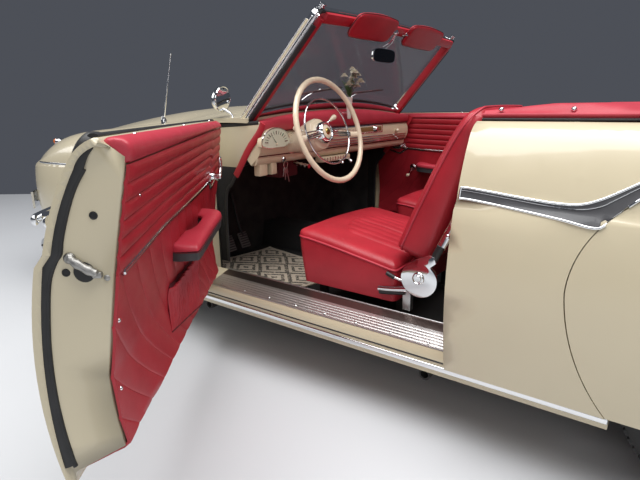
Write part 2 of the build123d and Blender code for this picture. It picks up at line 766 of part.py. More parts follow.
# Cover over the folded hood, a horseshoe round the rear seat that rests on the body's rim
with BuildPart() as tonneau_cover:
    with BuildSketch(Plane.XY.offset(955 + seat_gap)):
        with BuildLine():
            Polyline((-574, 690), (-574, 642), (-700, 600), (-760, 420), (-780, 0), (-1158, 0), (-1158, 480))
            Polyline((-1158, 480), (-1080, 640), (-900, 680), (-574, 690))
        make_face()
        mirror(about=Plane.XZ)
    extrude(amount=34)
write(tonneau_cover, "tonneau_cover")

# Front seats and rear bench
seat_inner = 112
seat_outer = 668
back_outer = 632
with BuildPart() as seat_cushions:
    with BuildSketch(Plane.XZ.offset(-seat_outer)):
        with BuildLine():
            Polyline((99, 346), (-298, 343), (-304, 488), (-200, 506))
            ThreePointArc((-200, 506), (-30, 536), (112, 548))
            ThreePointArc((112, 548), (136, 530), (130, 480))
            Line((130, 480), (99, 346))
        make_face()
    extrude(amount=seat_outer - seat_inner)
    fillet(seat_cushions.faces().filter_by(Axis.Y).edges(), 18)

with BuildPart() as seat_backs:
    with BuildSketch(Plane.XZ.offset(-back_outer)):
        with BuildLine():
            Line((-304.5, 488), (-428, 520))
            Line((-428, 520), (-574, 952))
            ThreePointArc((-574, 952), (-566, 992), (-530, 994))
            Line((-530, 994), (-470, 960))
            ThreePointArc((-470, 960), (-384, 730), (-304.5, 488))
        make_face()
    extrude(amount=back_outer - seat_inner - 10)
    fillet(seat_backs.faces().filter_by(Axis.Y).edges(), 14)

with BuildPart() as front_seats:
    add(seat_cushions.part)
    add(seat_backs.part)
    mirror(about=Plane.XZ)
write(front_seats, "front_seats")

with BuildPart() as seat_frames:
    # Recliner disc with its bracket and arm beside the seat, and two runners under it
    with BuildSketch(Plane.XZ.offset(-seat_outer - seat_gap - 11)):
        with Locations((-394, 452)):
            Circle(50)
        with BuildLine():
            Polyline((-394, 404), (-250, 362), (-150, 372), (-150, 410), (-250, 430), (-394, 500))
            Line((-394, 500), (-394, 404))
        make_face()
        with BuildLine():
            Polyline((-430, 470), (-396, 480), (-470, 700), (-492, 694), (-430, 470))
        make_face()
    extrude(amount=11)
    with BuildSketch(Plane.XZ.offset(-seat_outer - 8)):
        with Locations((-474, 680)):
            Circle(9)
    extrude(amount=seat_outer + 8 - back_outer - seat_gap)
    for y in (190, 590):
        with BuildSketch(Plane.XZ.offset(-y)):
            with BuildLine():
                Polyline((-330, floor_z + seat_gap), (90, floor_z + seat_gap), (90, 345.6), (-290, 342.7))
                Line((-290, 342.7), (-330, floor_z + seat_gap))
            make_face()
            with Locations((-110, 290)):
                Rectangle(280, 50, mode=Mode.SUBTRACT)
        extrude(amount=24)
    mirror(about=Plane.XZ)
write(seat_frames, "seat_frames")

bench_foot = 378 + seat_gap
with BuildPart() as rear_bench:
    with BuildSketch(Plane.XZ.offset(-575)):
        with BuildLine():
            Polyline((-700, bench_foot), (-970, bench_foot), (-1085, 940), (-1030, 950))
            Polyline((-1030, 950), (-940, 500), (-680, 520))
            Line((-680, 520), (-700, bench_foot))
        make_face()
    extrude(amount=1150)
    fillet(rear_bench.faces().filter_by(Axis.Y).edges(), 14)
write(rear_bench, "rear_bench")

# Engine with its gearbox, as one plain block
engine_foot = 300
gearbox_end = 884
with BuildPart() as engine_block:
    with BuildSketch(Plane.XZ.offset(-170)):
        with BuildLine():
            Polyline((1010, 380), (1010, 800), (1060, 840), (1500, 840), (1540, 760), (1540, engine_foot))
            Polyline((1540, engine_foot), (1120, engine_foot), (1010, 380))
        make_face()
    extrude(amount=340)
    with BuildSketch(cross_plane(gearbox_end)):
        with Locations((0, 440)):
            RectangleRounded(240, 240, 60)
    extrude(amount=130)
write(engine_block, "engine_block")

# Steering column with its shroud, stalk and steering box
with BuildPart() as steering_column:
    with BuildSketch(column_plane.offset(60)):
        Circle(column_radius)
    extrude(amount=745)
    with BuildSketch(column_plane.offset(48)):
        Circle(34)
    with BuildSketch(column_plane.offset(190)):
        Circle(26)
    loft()
    with BuildSketch(column_plane.offset(803)):
        Rectangle(76, 110)
    extrude(amount=46)
    stalk_root = (wheel_hub[0] + 85, wheel_hub[1] - 20, wheel_hub[2] - 18)
    with BuildSketch(Plane(origin=stalk_root, z_dir=(0.25, -1, 0.16))):
        Circle(5)
    extrude(amount=190)
write(steering_column, "steering_column")

wheel_outer = 217.8
grip_radius = 12
with BuildPart() as steering_wheel:
    with BuildSketch(Plane(origin=wheel_hub, x_dir=(0, 1, 0), z_dir=column_dir).offset(0)) as spoke_sketch:
        for angle in (-22, 202):
            with Locations(Rotation(0, 0, angle)):
                with Locations((100, 0)):
                    Rectangle(196, 22)
    extrude(amount=5, both=True)
    with BuildSketch(column_plane.offset(-22)):
        Circle(46)
    with BuildSketch(column_plane.offset(48 - seat_gap)):
        Circle(33)
    loft()
    wheel_up = (sin(radians(column_tilt)), 0, cos(radians(column_tilt)))
    with BuildSketch(Plane(origin=wheel_hub, x_dir=(0, 1, 0), z_dir=wheel_up)) as grip:
        with Locations((wheel_outer - grip_radius, 0)):
            Circle(grip_radius)
    revolve(axis=Axis(wheel_hub, column_dir))
write(steering_wheel, "steering_wheel")

# Front suspension: crossmember, wishbones and coil springs
arm_low = tyre_radius - 96
arm_high = tyre_radius + 88
upright_radius = 16
arm_tip = steer_axis_y - upright_radius - seat_gap
with BuildPart() as front_suspension:
    with BuildSketch(cross_plane(front_axle - 55)):
        with BuildLine():
            Polyline((-300, 210), (-230, 180), (230, 180), (300, 210), (300, engine_foot - seat_gap))
            Polyline((300, engine_foot - seat_gap), (-300, engine_foot - seat_gap), (-300, 210))
        make_face()
    extrude(amount=110)
    for side in (1, -1):
        for z, inner, spread in ((arm_low, 290, 120), (arm_high, 330, 90)):
            with BuildSketch(Plane.XY.offset(z - 10)):
                with BuildLine():
                    Polyline(
                        (front_axle - spread, side * inner),
                        (front_axle - 20, side * arm_tip),
                        (front_axle + 20, side * arm_tip),
                        (front_axle + spread, side * inner),
                        (front_axle + spread - 30, side * inner),
                        (front_axle, side * (steer_axis_y - 110)),
                        (front_axle - spread + 30, side * inner),
                        (front_axle - spread, side * inner),
                    )
                make_face()
            extrude(amount=20)
            with Locations((front_axle, side * inner, z)):
                Cylinder(12, 2 * spread + 20, rotation=(0, 90, 0))
        with Locations((front_axle, side * 332, 360)):
            Cylinder(46, 300)
        with Locations((front_axle, side * 332, 520)):
            Cylinder(398 - seat_gap - 332, 60)
write(front_suspension, "front_suspension")

# Steering knuckles: upright on the steering axis, backing plate and stub axle
hub_y = track_front / 2
stub_radius = 17
stub_depth = 14
drum_radius = 116
hub_face = rim_width / 2 - 40
with BuildPart() as knuckle:
    with Locations((front_axle, steer_axis_y, tyre_radius - 4)):
        Cylinder(upright_radius, 224)
    with BuildSketch(Plane.XZ.offset(-(steer_axis_y + 8))):
        with Locations((front_axle, tyre_radius)):
            Circle(50)
    extrude(amount=-14)
    with BuildSketch(Plane.XZ.offset(-(steer_axis_y + 22))):
        with Locations((front_axle, tyre_radius)):
            Circle(drum_radius - 13)
    extrude(amount=-5)
    with BuildSketch(Plane.XZ.offset(-(steer_axis_y + 27))):
        with Locations((front_axle, tyre_radius)):
            Circle(stub_radius)
    extrude(amount=-(hub_y + hub_face + stub_depth - steer_axis_y - 27))
    with BuildSketch(Plane.XY.offset(tyre_radius - 40)):
        with BuildLine():
            Polyline((front_axle - 10, 605), (front_axle - 150, 590), (front_axle - 150, 612))
            Line((front_axle - 150, 612), (front_axle - 10, 634))
            Line((front_axle - 10, 634), (front_axle - 10, 605))
        make_face()
    extrude(amount=16)
for side, suffix in ((1, "left"), (-1, "right")):
    with BuildPart() as placed:
        add(knuckle.part)
        if side < 0:
            mirror(about=Plane.XZ, mode=Mode.REPLACE)
    write(placed, f"knuckle_{suffix}")

# Wheels, drawn for the left side with their centre on the origin and their outside towards +Y
flange_radius = 178
with BuildPart() as tyre:
    with BuildSketch(Plane.YZ):
        half = tyre_width / 2
        bead = rim_width / 2 - 7
        with BuildLine():
            Polyline((-bead, flange_radius + 2), (-bead, bead_radius), (bead, bead_radius))
            Line((bead, bead_radius), (bead, flange_radius + 2))
            ThreePointArc((bead, flange_radius + 2), (half, 238), (half - 22, tyre_radius - 10))
            ThreePointArc((half - 22, tyre_radius - 10), (0, tyre_radius), (22 - half, tyre_radius - 10))
            ThreePointArc((22 - half, tyre_radius - 10), (-half, 238), (-bead, flange_radius + 2))
        make_face()
    revolve(axis=Axis.Y)

with BuildPart() as rim:
    with BuildSketch(Plane.YZ):
        edge = rim_width / 2
        with BuildLine():
            Polyline(
                (-edge, flange_radius),
                (-edge + 6, flange_radius),
                (-edge + 6.7, bead_radius - seat_gap),
                (edge - 6.7, bead_radius - seat_gap),
                (edge - 6, flange_radius),
                (edge, flange_radius),
                (edge + 2, flange_radius - 14),
                (edge - 22, bead_radius - 16),
                (edge - 16, 118),
                (edge - 34, 104),
                (edge - 34, 100),
            )
            Polyline((edge - 34, 100), (edge - 10, 92), (edge + 12, 52), (edge + 18, 0), (edge - 40, 0))
            Polyline((edge - 40, 0), (edge - 40, 112), (edge - 27, 126), (edge - 33, bead_radius - 10))
            Polyline((edge - 33, bead_radius - 10), (-edge, bead_radius - 10), (-edge, flange_radius))
        make_face()
    revolve(axis=Axis.Y)
    # Brake drum behind the disc
    with BuildSketch(Plane.YZ):
        with BuildLine():
                Polyline((edge - 40, 34), (edge - 40, drum_radius), (edge - 92, drum_radius))
                Polyline((edge - 92, drum_radius), (edge - 92, drum_radius - 8), (edge - 48, drum_radius - 8))
                Polyline((edge - 48, drum_radius - 8), (edge - 48, 34), (edge - 40, 34))
        make_face()
    revolve(axis=Axis.Y)
    with BuildSketch(Plane.XZ.offset(-hub_face - stub_depth - 1)):
        Circle(stub_radius + seat_gap)
    extrude(amount=stub_depth + 40, mode=Mode.SUBTRACT)

wheel_places = [
    ("fl", front_axle, track_front / 2, 1),
    ("fr", front_axle, track_front / 2, -1),
    ("rl", rear_axle_x, track_rear / 2, 1),
    ("rr", rear_axle_x, track_rear / 2, -1),
]
for suffix, x, y, side in wheel_places:
    for shape, name in ((tyre.part, "tyre"), (rim.part, "rim")):
        with BuildPart() as placed:
            moved = shape.moved(Location((x, y, tyre_radius)))
            add(moved if side > 0 else moved.mirror(Plane.XZ))
        write(placed, f"{name}_{suffix}")

# Rear axle: differential, swinging half shafts, trailing arms, springs and the propeller shaft
shaft_end = track_rear / 2 + hub_face + stub_depth
shaft_z = 308
with BuildPart() as rear_axle:
    with BuildSketch(cross_plane(rear_axle_x - 110)):
        with Locations((0, tyre_radius - 4)):
            RectangleRounded(200, 200, 60)
    extrude(amount=240)
    for side in (1, -1):
        with BuildSketch(Plane.XZ.offset(side * -60)):
            with Locations((rear_axle_x, tyre_radius)):
                Circle(34)
        extrude(amount=side * -(shaft_end - 60 - 80))
        with BuildSketch(Plane.XZ.offset(side * -(shaft_end - 82))):
            with Locations((rear_axle_x, tyre_radius)):
                Circle(stub_radius)
        extrude(amount=side * -82)
        with BuildSketch(Plane.XZ.offset(side * -(shaft_end - stub_depth - 50))):
            with Locations((rear_axle_x, tyre_radius)):
                Circle(drum_radius - 13)
        extrude(amount=side * -6)
        with BuildSketch(Plane.XY.offset(tyre_radius - 70)):
            with BuildLine():
                Polyline((rear_axle_x + 10, side * 520), (-800, side * 460), (-800, side * 500))
                Polyline((-800, side * 500), (rear_axle_x + 10, side * 570), (rear_axle_x + 10, side * 520))
            make_face()
        extrude(amount=44)
        with BuildSketch(Plane.XY.offset(tyre_radius + 30)):
            with Locations((rear_axle_x + 20, side * 500)):
                Circle(50)
        extrude(amount=514 - seat_gap - tyre_radius - 30)
        with BuildSketch(Plane.XY.offset(tyre_radius - 30)):
            with Locations((-800, side * 480)):
                Rectangle(36, 40)
        extrude(amount=366 - seat_gap - tyre_radius + 30)
    with BuildSketch(cross_plane(rear_axle_x + 130)):
        with Locations((0, shaft_z)):
            Circle(28)
    extrude(amount=gearbox_end - seat_gap - rear_axle_x - 130)
write(rear_axle, "rear_axle")

# Exhaust and fuel tank under the floor
with BuildPart() as exhaust:
    pipe_z = 168
    with BuildLine() as pipe_line:
        FilletPolyline(
            (1180, -230, 260),
            (1060, -230, pipe_z),
            (-900, -230, pipe_z),
            (-1080, -330, pipe_z),
            (-1700, -330, pipe_z),
            (-2216, -400, 196),
            radius=70,
        )
    with BuildSketch(Plane(origin=pipe_line.line @ 0, z_dir=pipe_line.line % 0)):
        Circle(22)
    sweep()
    with BuildSketch(cross_plane(-620)):
        with Locations((-230, pipe_z)):
            SlotOverall(200, 2 * (floor_z - floor_sheet - seat_gap - pipe_z))
    extrude(amount=520)

with BuildPart() as fuel_tank:
    with BuildSketch(Plane.XY.offset(214)):
        with Locations((-1880, 60)):
            RectangleRounded(400, 620, 60)
    extrude(amount=110 - seat_gap)
    fillet(fuel_tank.faces().sort_by(Axis.Z)[0].edges(), 24)

with BuildPart() as exhaust_and_tank:
    add(exhaust.part)
    add(fuel_tank.part)
write(exhaust_and_tank, "exhaust_and_tank")

# Bumpers: blades that wrap round the corners, on two irons each
# Columns: direction along X, middle, quarter and end points, height, iron root
bumper_rows = [
    (1, 2186, (2142, 520), (2098, 742), (1996, 812), front_bumper_z, 2010),
    (-1, -2272, (-2238, 520), (-2204, 738), (-2080, 814), rear_bumper_z, -2130),
]
blade_height = 96
blade_depth = 13
with BuildPart() as bumpers:
    for heading, middle, knee, corner, tip, z, iron_root in bumper_rows:
        back = heading * blade_depth
        hind_knee = (knee[0] - back, knee[1])
        hind_corner = (corner[0] - 0.85 * back, corner[1] - 9)
        hind_tip = (tip[0] - heading * 2, tip[1] - 12)
        with BuildSketch(Plane.XY.offset(z - blade_height / 2)):
            with BuildLine():
                ThreePointArc((middle, 0), (middle - 0.25 * (middle - knee[0]), knee[1] / 2), knee)
                ThreePointArc(knee, corner, tip)
                Line(tip, hind_tip)
                ThreePointArc(hind_tip, hind_corner, hind_knee)
                half_way = (middle - back - 0.25 * (middle - knee[0]), knee[1] / 2)
                ThreePointArc(hind_knee, half_way, (middle - back, 0))
                Line((middle - back, 0), (middle, 0))
            make_face()
            mirror(about=Plane.XZ)
        extrude(amount=blade_height)
        for side in (1, -1):
            with BuildSketch(Plane.XY.offset(z - 82)):
                with Locations((middle - heading * 18, side * iron_y)):
                    RectangleRounded(60, 54, 20)
            extrude(amount=186)
            with BuildSketch(Plane.XY.offset(z - iron_drop)):
                with Locations(((middle - heading * 24 + iron_root) / 2, side * iron_y)):
                    Rectangle(abs(middle - heading * 24 - iron_root), iron_width)
            extrude(amount=iron_height)
write(bumpers, "bumpers")

# Lamps: domed headlamps, torpedo turn signals on the fenders and tail lamps
lamp_y = 622
lamp_z = 618
lamp_radius = 88
lamp_face = 2085
lens_half = 72
lens_rise = 26
lens_radius = (lens_half**2 + lens_rise**2) / (2 * lens_rise)
lens_turn = degrees(asin(lens_half / lens_radius))
torpedo_x = 1960
torpedo_z = 818
with BuildPart() as lamps:
    for side in (1, -1):
        lamp_centre = (lamp_face + seat_gap, side * lamp_y, lamp_z)
        with BuildSketch(Plane(origin=lamp_centre, x_dir=(0, 1, 0), z_dir=(0, 0, 1))):
            with BuildLine():
                Polyline((0, 0), (lamp_radius, 0), (lamp_radius, -8), (lamp_radius - 8, -20))
                Line((lamp_radius - 8, -20), (lens_half, -20))
                CenterArc(
                    (0, lens_radius - 20 - lens_rise), lens_radius, 270, lens_turn
                )
                Line((0, -20 - lens_rise), (0, 0))
            make_face()
        revolve(axis=Axis((lamp_face, side * lamp_y, lamp_z), (1, 0, 0)))
        torpedo_centre = (torpedo_x, side * lamp_y, torpedo_z)
        with BuildSketch(Plane(origin=torpedo_centre, x_dir=(1, 0, 0), z_dir=(0, -1, 0))):
            Ellipse(66, 22)
            with Locations((0, -50)):
                Rectangle(200, 100, mode=Mode.SUBTRACT)
        revolve(axis=Axis((torpedo_x, side * lamp_y, torpedo_z), (1, 0, 0)))
        with BuildSketch(Plane.XY.offset(torpedo_z - 90)):
            with Locations((torpedo_x, side * lamp_y)):
                SlotOverall(90, 20)
        extrude(amount=90)
        add(side_solid, mode=Mode.SUBTRACT)
        with BuildSketch(cross_plane(-2190 - seat_gap)):
            with Locations((side * 622, 600)):
                SlotOverall(150, 76, rotation=90)
        extrude(amount=-26)
write(lamps, "lamps")

# Wipers, mirrors and aerial
wiper_offset = screen_bow + frame_depth / 2 + 4
wiper_up = 110
wiper_tilt = -8
with BuildPart() as cowl_fittings:
    for side in (1, -1):
        with BuildSketch(screen_face.offset(wiper_offset)):
            with Locations((side * 190 - 20, wiper_up)):
                Rectangle(300, 7, rotation=wiper_tilt)
        extrude(amount=8)
        pivot = Location((side * 190 + 120, -wiper_offset - 4, 0))
        spindle = Plane(screen_base.offset(wiper_up - 16) * pivot)
        with BuildSketch(spindle):
            Circle(9)
        extrude(amount=-110)
    # Outer mirror on a stalk and aerial on the left of the cowl
    with BuildSketch(Plane.XY.offset(910)):
        with Locations((505, 606)):
            Circle(17)
    extrude(amount=56)
    with BuildSketch(Plane(origin=(505, 606, 960), z_dir=(-0.15, 0.35, 1))):
        Circle(6)
    extrude(amount=70)
    with BuildSketch(Plane(origin=(500, 634, 1060), x_dir=(0, 1, 0), z_dir=(-0.96, 0.28, 0))):
        Circle(52)
    extrude(amount=16)
    add(cowl_block, mode=Mode.SUBTRACT)
    add(windscreen_frame.part, mode=Mode.SUBTRACT)
    with BuildSketch(Plane(origin=(886, 668, 938), z_dir=(-0.05, 0.1, 1))):
        Circle(12)
    extrude(amount=24)
    with BuildSketch(Plane(origin=(886, 668, 950), z_dir=(-0.32, 0, 1))):
        Circle(4)
    extrude(amount=420)
    add(side_solid, mode=Mode.SUBTRACT)
write(cowl_fittings, "cowl_fittings")

# Towing eyes under the nose, low enough for a pin to pass below the fenders, and jacking sockets
eye_x = 2010
eye_y = 250
eye_z = 346
eye_radius = 16
eye_wall = 14
eye_depth = 12
nose_foot = 418
socket_radius = 13
socket_wall = 6
sill_foot = 204
with BuildPart() as lift_points:
    for side in (1, -1):
        with BuildSketch(Plane.XZ.offset(-side * eye_y - eye_depth / 2)):
            with Locations((eye_x, eye_z)):
                Circle(eye_radius + eye_wall)
            with Locations((eye_x, (eye_z + nose_foot - seat_gap) / 2)):
                Rectangle(2 * (eye_radius + eye_wall), nose_foot - seat_gap - eye_z)
            with Locations((eye_x, eye_z)):
                Circle(eye_radius, mode=Mode.SUBTRACT)
        extrude(amount=eye_depth)
        for x in (-480, 520):
            with BuildSketch(Plane.XZ.offset(-side * 700)):
                with Locations((x, sill_foot - seat_gap - socket_radius - socket_wall)):
                    Circle(socket_radius + socket_wall)
                    Circle(socket_radius, mode=Mode.SUBTRACT)
            extrude(amount=-side * 90)
write(lift_points, "lift_points")

# Fittings in the cabin: pedals, sun visors, inner mirror and a small flower vase on the dashboard's roll
vase_foot = (300, 42, 938)
visor_length = 330
visor_height = 112
arm_end = firewall_x - seat_gap
with BuildPart() as cabin_fittings:
    for y in (330, 430, 520):
        with BuildSketch(Plane(origin=(770, y, 330), x_dir=(0, 1, 0), z_dir=(-0.9, 0, 0.42))):
            RectangleRounded(62, 84, 8)
        extrude(amount=10)
        with BuildSketch(Plane.XZ.offset(-y - 6)):
            with BuildLine():
                Polyline((772, 345), (arm_end, 560), (arm_end, 590), (766, 356), (772, 345))
            make_face()
        extrude(amount=12)
    for side in (1, -1):
        with BuildSketch(screen_face.offset(-frame_depth / 2 - 17)):
            with Locations((side * 225, screen_height - 8)):
                RectangleRounded(visor_length, visor_height, 30)
        extrude(amount=15)
        # Pivot pins of the visor on the header
        with BuildSketch(screen_face.offset(-frame_depth / 2 - 4)):
            with Locations((side * 100, screen_height - 14), (side * 350, screen_height - 14)):
                Circle(5)
        extrude(amount=28)
    with BuildSketch(Plane(origin=(136, 19, 1215), x_dir=(0, 1, 0), z_dir=(-1, 0, -0.12))):
        RectangleRounded(192, 62, 24)
    extrude(amount=18)
    with BuildSketch(Plane(origin=(128, 19, 1240), z_dir=(-44, 0, 84))):
        Circle(5)
    extrude(amount=95)
    with BuildSketch(Plane(origin=vase_foot, x_dir=(1, 0, 0), z_dir=(0, -1, 0))):
        with BuildLine():
            Polyline((0, 0), (9, 0), (17, 96), (17, 102), (0, 102), (0, 0))
        make_face()
    revolve(axis=Axis(vase_foot, (0, 0, 1)))
    with BuildSketch(Plane.XY.offset(vase_foot[2] + 20)):
        with Locations((vase_foot[0] + 20, vase_foot[1])):
            Rectangle(44, 14)
    extrude(amount=16)
    add(dash_roll.part, mode=Mode.SUBTRACT)
    add(windscreen_frame.part, mode=Mode.SUBTRACT)
write(cabin_fittings, "cabin_fittings")
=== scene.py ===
import json
import math
import random
import bmesh
import bpy
from mathutils import Matrix, Vector, noise
from mathutils.bvhtree import BVHTree


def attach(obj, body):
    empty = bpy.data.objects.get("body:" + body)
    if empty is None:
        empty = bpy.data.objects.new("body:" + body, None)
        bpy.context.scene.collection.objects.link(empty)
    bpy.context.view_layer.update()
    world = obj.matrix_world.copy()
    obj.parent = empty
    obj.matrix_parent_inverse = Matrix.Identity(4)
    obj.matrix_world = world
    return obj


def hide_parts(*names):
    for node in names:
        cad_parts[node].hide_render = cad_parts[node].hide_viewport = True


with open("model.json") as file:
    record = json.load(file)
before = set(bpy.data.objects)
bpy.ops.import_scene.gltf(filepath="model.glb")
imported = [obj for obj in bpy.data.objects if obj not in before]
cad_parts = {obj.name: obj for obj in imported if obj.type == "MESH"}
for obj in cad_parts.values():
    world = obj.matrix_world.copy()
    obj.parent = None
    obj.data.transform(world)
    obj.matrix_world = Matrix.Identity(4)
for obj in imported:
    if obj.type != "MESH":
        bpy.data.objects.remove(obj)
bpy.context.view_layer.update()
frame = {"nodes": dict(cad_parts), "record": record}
scene = bpy.context.scene
nodes = frame["nodes"]
bodyOf = {name: body for body, names in frame["record"]["behaviour"]["bodies"].items() for name in names}
carBody = "car_body"
print("frame loaded")

# sizes that several pieces share, in metres
car = {
    "doorHinge": (0.597, 0.842),
    "doorAngle": math.radians(50.7),
    "wheelHub": Vector((0.137, 0.423, 0.906)),
    "columnTilt": math.radians(17.2),
    "screenFoot": (0.410, 0.958),
    "screenTop": (0.065, 1.326),
    "screenHalf": 0.626,
    "screenTaper": 0.034,
    "screenBow": 0.024,
}
columnDir = Vector((math.cos(car["columnTilt"]), 0, -math.sin(car["columnTilt"])))
xAxis, yAxis, zAxis = (1, 0, 0), (0, 1, 0), (0, 0, 1)


# points whose places are written in millimetres
def mm(*points):
    return [tuple(v / 1000 for v in point) for point in points]


def turns(count):
    return [2 * math.pi * i / count for i in range(count)]


def between(a, b, count):
    return [a + (b - a) * i / (count - 1) for i in range(count)]


# height of a half circle over 0 to 1, and how far a pad's edge rolls off
def arch(t):
    return math.sqrt(max(0.0, 1 - (2 * t - 1) ** 2))


def rolled(edge, width, drop):
    return drop * (1 - math.sqrt(max(0.0, 1 - (1 - edge / width) ** 2))) if edge < width else 0.0


# shader maths as expressions
class Value:
    def __init__(self, paint, socket):
        self.paint = paint
        self.socket = socket

    def maths(self, operation, other=None, swapped=False):
        node = self.paint.tree.nodes.new("ShaderNodeMath")
        node.operation = operation
        pair = [other, self] if swapped else [self, other]
        for index, item in enumerate(pair):
            if isinstance(item, Value):
                self.paint.tree.links.new(item.socket, node.inputs[index])
            elif item is not None:
                node.inputs[index].default_value = item
        return Value(self.paint, node.outputs[0])

    def __add__(self, other):
        return self.maths("ADD", other)

    def __sub__(self, other):
        return self.maths("SUBTRACT", other)

    def __rsub__(self, other):
        return self.maths("SUBTRACT", other, True)

    def __mul__(self, other):
        return self.maths("MULTIPLY", other)

    def __truediv__(self, other):
        return self.maths("DIVIDE", other)

    def __mod__(self, other):
        return self.maths("FLOORED_MODULO", other)

    def __gt__(self, other):
        return self.maths("GREATER_THAN", other)

    def __lt__(self, other):
        return self.maths("LESS_THAN", other)

    def __abs__(self):
        return self.maths("ABSOLUTE")

    def larger(self, other):
        return self.maths("MAXIMUM", other)

    def ramp(self, low, high):
        node = self.paint.node("ShaderNodeMapRange", {"interpolation_type": "SMOOTHSTEP"},
                               {"Value": self, "From Min": low, "From Max": high})
        return Value(self.paint, node.outputs["Result"])

    __radd__ = __add__
    __rmul__ = __mul__


class Paint:
    def __init__(self, name, numbers=None):
        self.material = bpy.data.materials.new(name)
        self.material.use_nodes = True
        self.tree = self.material.node_tree
        self.shader = self.tree.nodes["Principled BSDF"]
        for socket, value in (numbers or {}).items():
            self.shader.inputs[socket].default_value = value

    def node(self, kind, settings=None, inputs=None):
        made = self.tree.nodes.new(kind)
        for key, value in (settings or {}).items():
            setattr(made, key, value)
        for key, value in (inputs or {}).items():
            if isinstance(value, Value):
                self.tree.links.new(value.socket, made.inputs[key])
            else:
                made.inputs[key].default_value = value
        return made

    def coords(self):
        return Value(self, self.node("ShaderNodeTexCoord").outputs["Object"])

    def axes(self):
        split = self.node("ShaderNodeSeparateXYZ", None, {"Vector": self.coords()})
        return [Value(self, split.outputs[i]) for i in range(3)]

    def noise(self, scale, detail=2.0, stretch=None):
        where = self.coords()
        if stretch:
            where = Value(self,
                          self.node("ShaderNodeMapping", None,
                                    {"Vector": where, "Scale": stretch}).outputs[0])
        made = self.node("ShaderNodeTexNoise", None, {"Vector": where, "Scale": scale, "Detail": detail})
        return Value(self, made.outputs["Fac"])

    def cells(self, scale):
        made = self.node("ShaderNodeTexVoronoi", {"feature": "F1"}, {"Vector": self.coords(), "Scale": scale})
        return Value(self, made.outputs["Distance"])

    def mix(self, share, first, second):
        made = self.node("ShaderNodeMix", {"data_type": "RGBA"})
        for index, item in ((0, share), (6, first), (7, second)):
            if isinstance(item, Value):
                self.tree.links.new(item.socket, made.inputs[index])
            else:
                made.inputs[index].default_value = item if index == 0 else (*item[:3], 1)
        return Value(self, made.outputs[2])

    def feed(self, socket, value):
        self.tree.links.new(value.socket, self.shader.inputs[socket])

    def bump(self, height, strength, distance):
        made = self.node("ShaderNodeBump", None,
                         {"Height": height, "Strength": strength, "Distance": distance})
        self.tree.links.new(made.outputs[0], self.shader.inputs["Normal"])


def enamel(name, colour, shade, roughness=0.2):
    paint = Paint(name, {"Coat Weight": 0.5, "Coat Roughness": 0.06})
    cloud = paint.noise(2.5, 3)
    paint.feed("Base Color", paint.mix(cloud.ramp(0.3, 0.7), colour, shade))
    paint.feed("Roughness", paint.noise(30, 4) * 0.08 + roughness)
    paint.bump(paint.noise(420, 2), 0.05, 0.0002)
    return paint.material


def leather(name, colour, shade, roughness=0.4, grain=520):
    paint = Paint(name, {"Specular IOR Level": 0.45})
    paint.feed("Base Color", paint.mix(paint.noise(9, 4).ramp(0.3, 0.72), colour, shade))
    grainCells = paint.cells(grain)
    creases = paint.noise(60, 5).ramp(0.35, 0.75)
    paint.feed("Roughness", paint.noise(24, 3) * 0.18 + roughness - 0.08)
    paint.bump(grainCells * 0.7 + creases * 0.5, 0.22, 0.0008)
    return paint.material


def metal(name, colour, roughness, brushed=None, scratches=0.03):
    paint = Paint(name, {"Metallic": 1.0})
    paint.feed("Base Color", paint.mix(paint.noise(7, 3), colour, tuple(c * 0.88 for c in colour)))
    if brushed:
        lines = paint.noise(60, 4, brushed)
        paint.feed("Roughness", lines * 0.2 + roughness)
        paint.bump(lines, 0.12, 0.0004)
    else:
        paint.feed("Roughness", paint.noise(40, 4) * scratches + roughness)
    return paint.material


def plain(name, colour, shade, roughness, grainScale, grainDepth, coat=0.0):
    paint = Paint(name, {"Coat Weight": coat})
    paint.feed("Base Color", paint.mix(paint.noise(14, 4).ramp(0.3, 0.7), colour, shade))
    paint.feed("Roughness", paint.noise(30, 3) * 0.15 + roughness)
    paint.bump(paint.noise(grainScale, 3), 0.4, grainDepth)
    return paint.material


def glassLike(name, colour, roughness, alpha):
    paint = Paint(name, {"Specular IOR Level": 0.6, "Alpha": alpha})
    paint.feed("Base Color", paint.mix(paint.noise(3, 2), colour, tuple(c * 0.9 for c in colour)))
    paint.feed("Roughness", paint.noise(12, 3) * 0.03 + roughness)
    return paint.material


def rugWool(name):
    paint = Paint(name, {"Roughness": 0.95})
    x, y = paint.axes()[:2]
    # the rug's own axes, then diamonds 0.22 by 0.17 m with stepped rings in them, and a plain border
    u = (x - 0.500) * 0.988 - (y - 0.400) * 0.156
    v = (x - 0.500) * 0.156 + (y - 0.400) * 0.988
    diamond = abs(((u * 4.6) % 1.0) - 0.5) + abs(((v * 6.0) % 1.0) - 0.5)
    rings = ((diamond * 4.0 + paint.noise(60, 2) * 0.35 + 0.45) % 1.0) > 0.56
    border = abs(diamond - 0.5) < 0.045
    inside = (abs(u) < 0.282) * (abs(v) < 0.200)
    wool = paint.mix(paint.noise(90, 3), (0.46, 0.39, 0.29), (0.66, 0.58, 0.47))
    ink = rings.larger(border) * paint.noise(120, 3).ramp(0.3, 0.5) * inside
    paint.feed("Base Color", paint.mix(ink * 0.9, wool, (0.03, 0.025, 0.022)))
    paint.bump(paint.noise(900, 3) + paint.noise(220, 2) * 0.6, 0.8, 0.002)
    return paint.material


def carpetPile(name):
    paint = Paint(name, {"Roughness": 1.0})
    paint.feed("Base Color", paint.mix(paint.noise(400, 2), (0.006, 0.006, 0.006), (0.022, 0.021, 0.02)))
    paint.bump(paint.noise(1500, 3), 0.9, 0.002)
    return paint.material


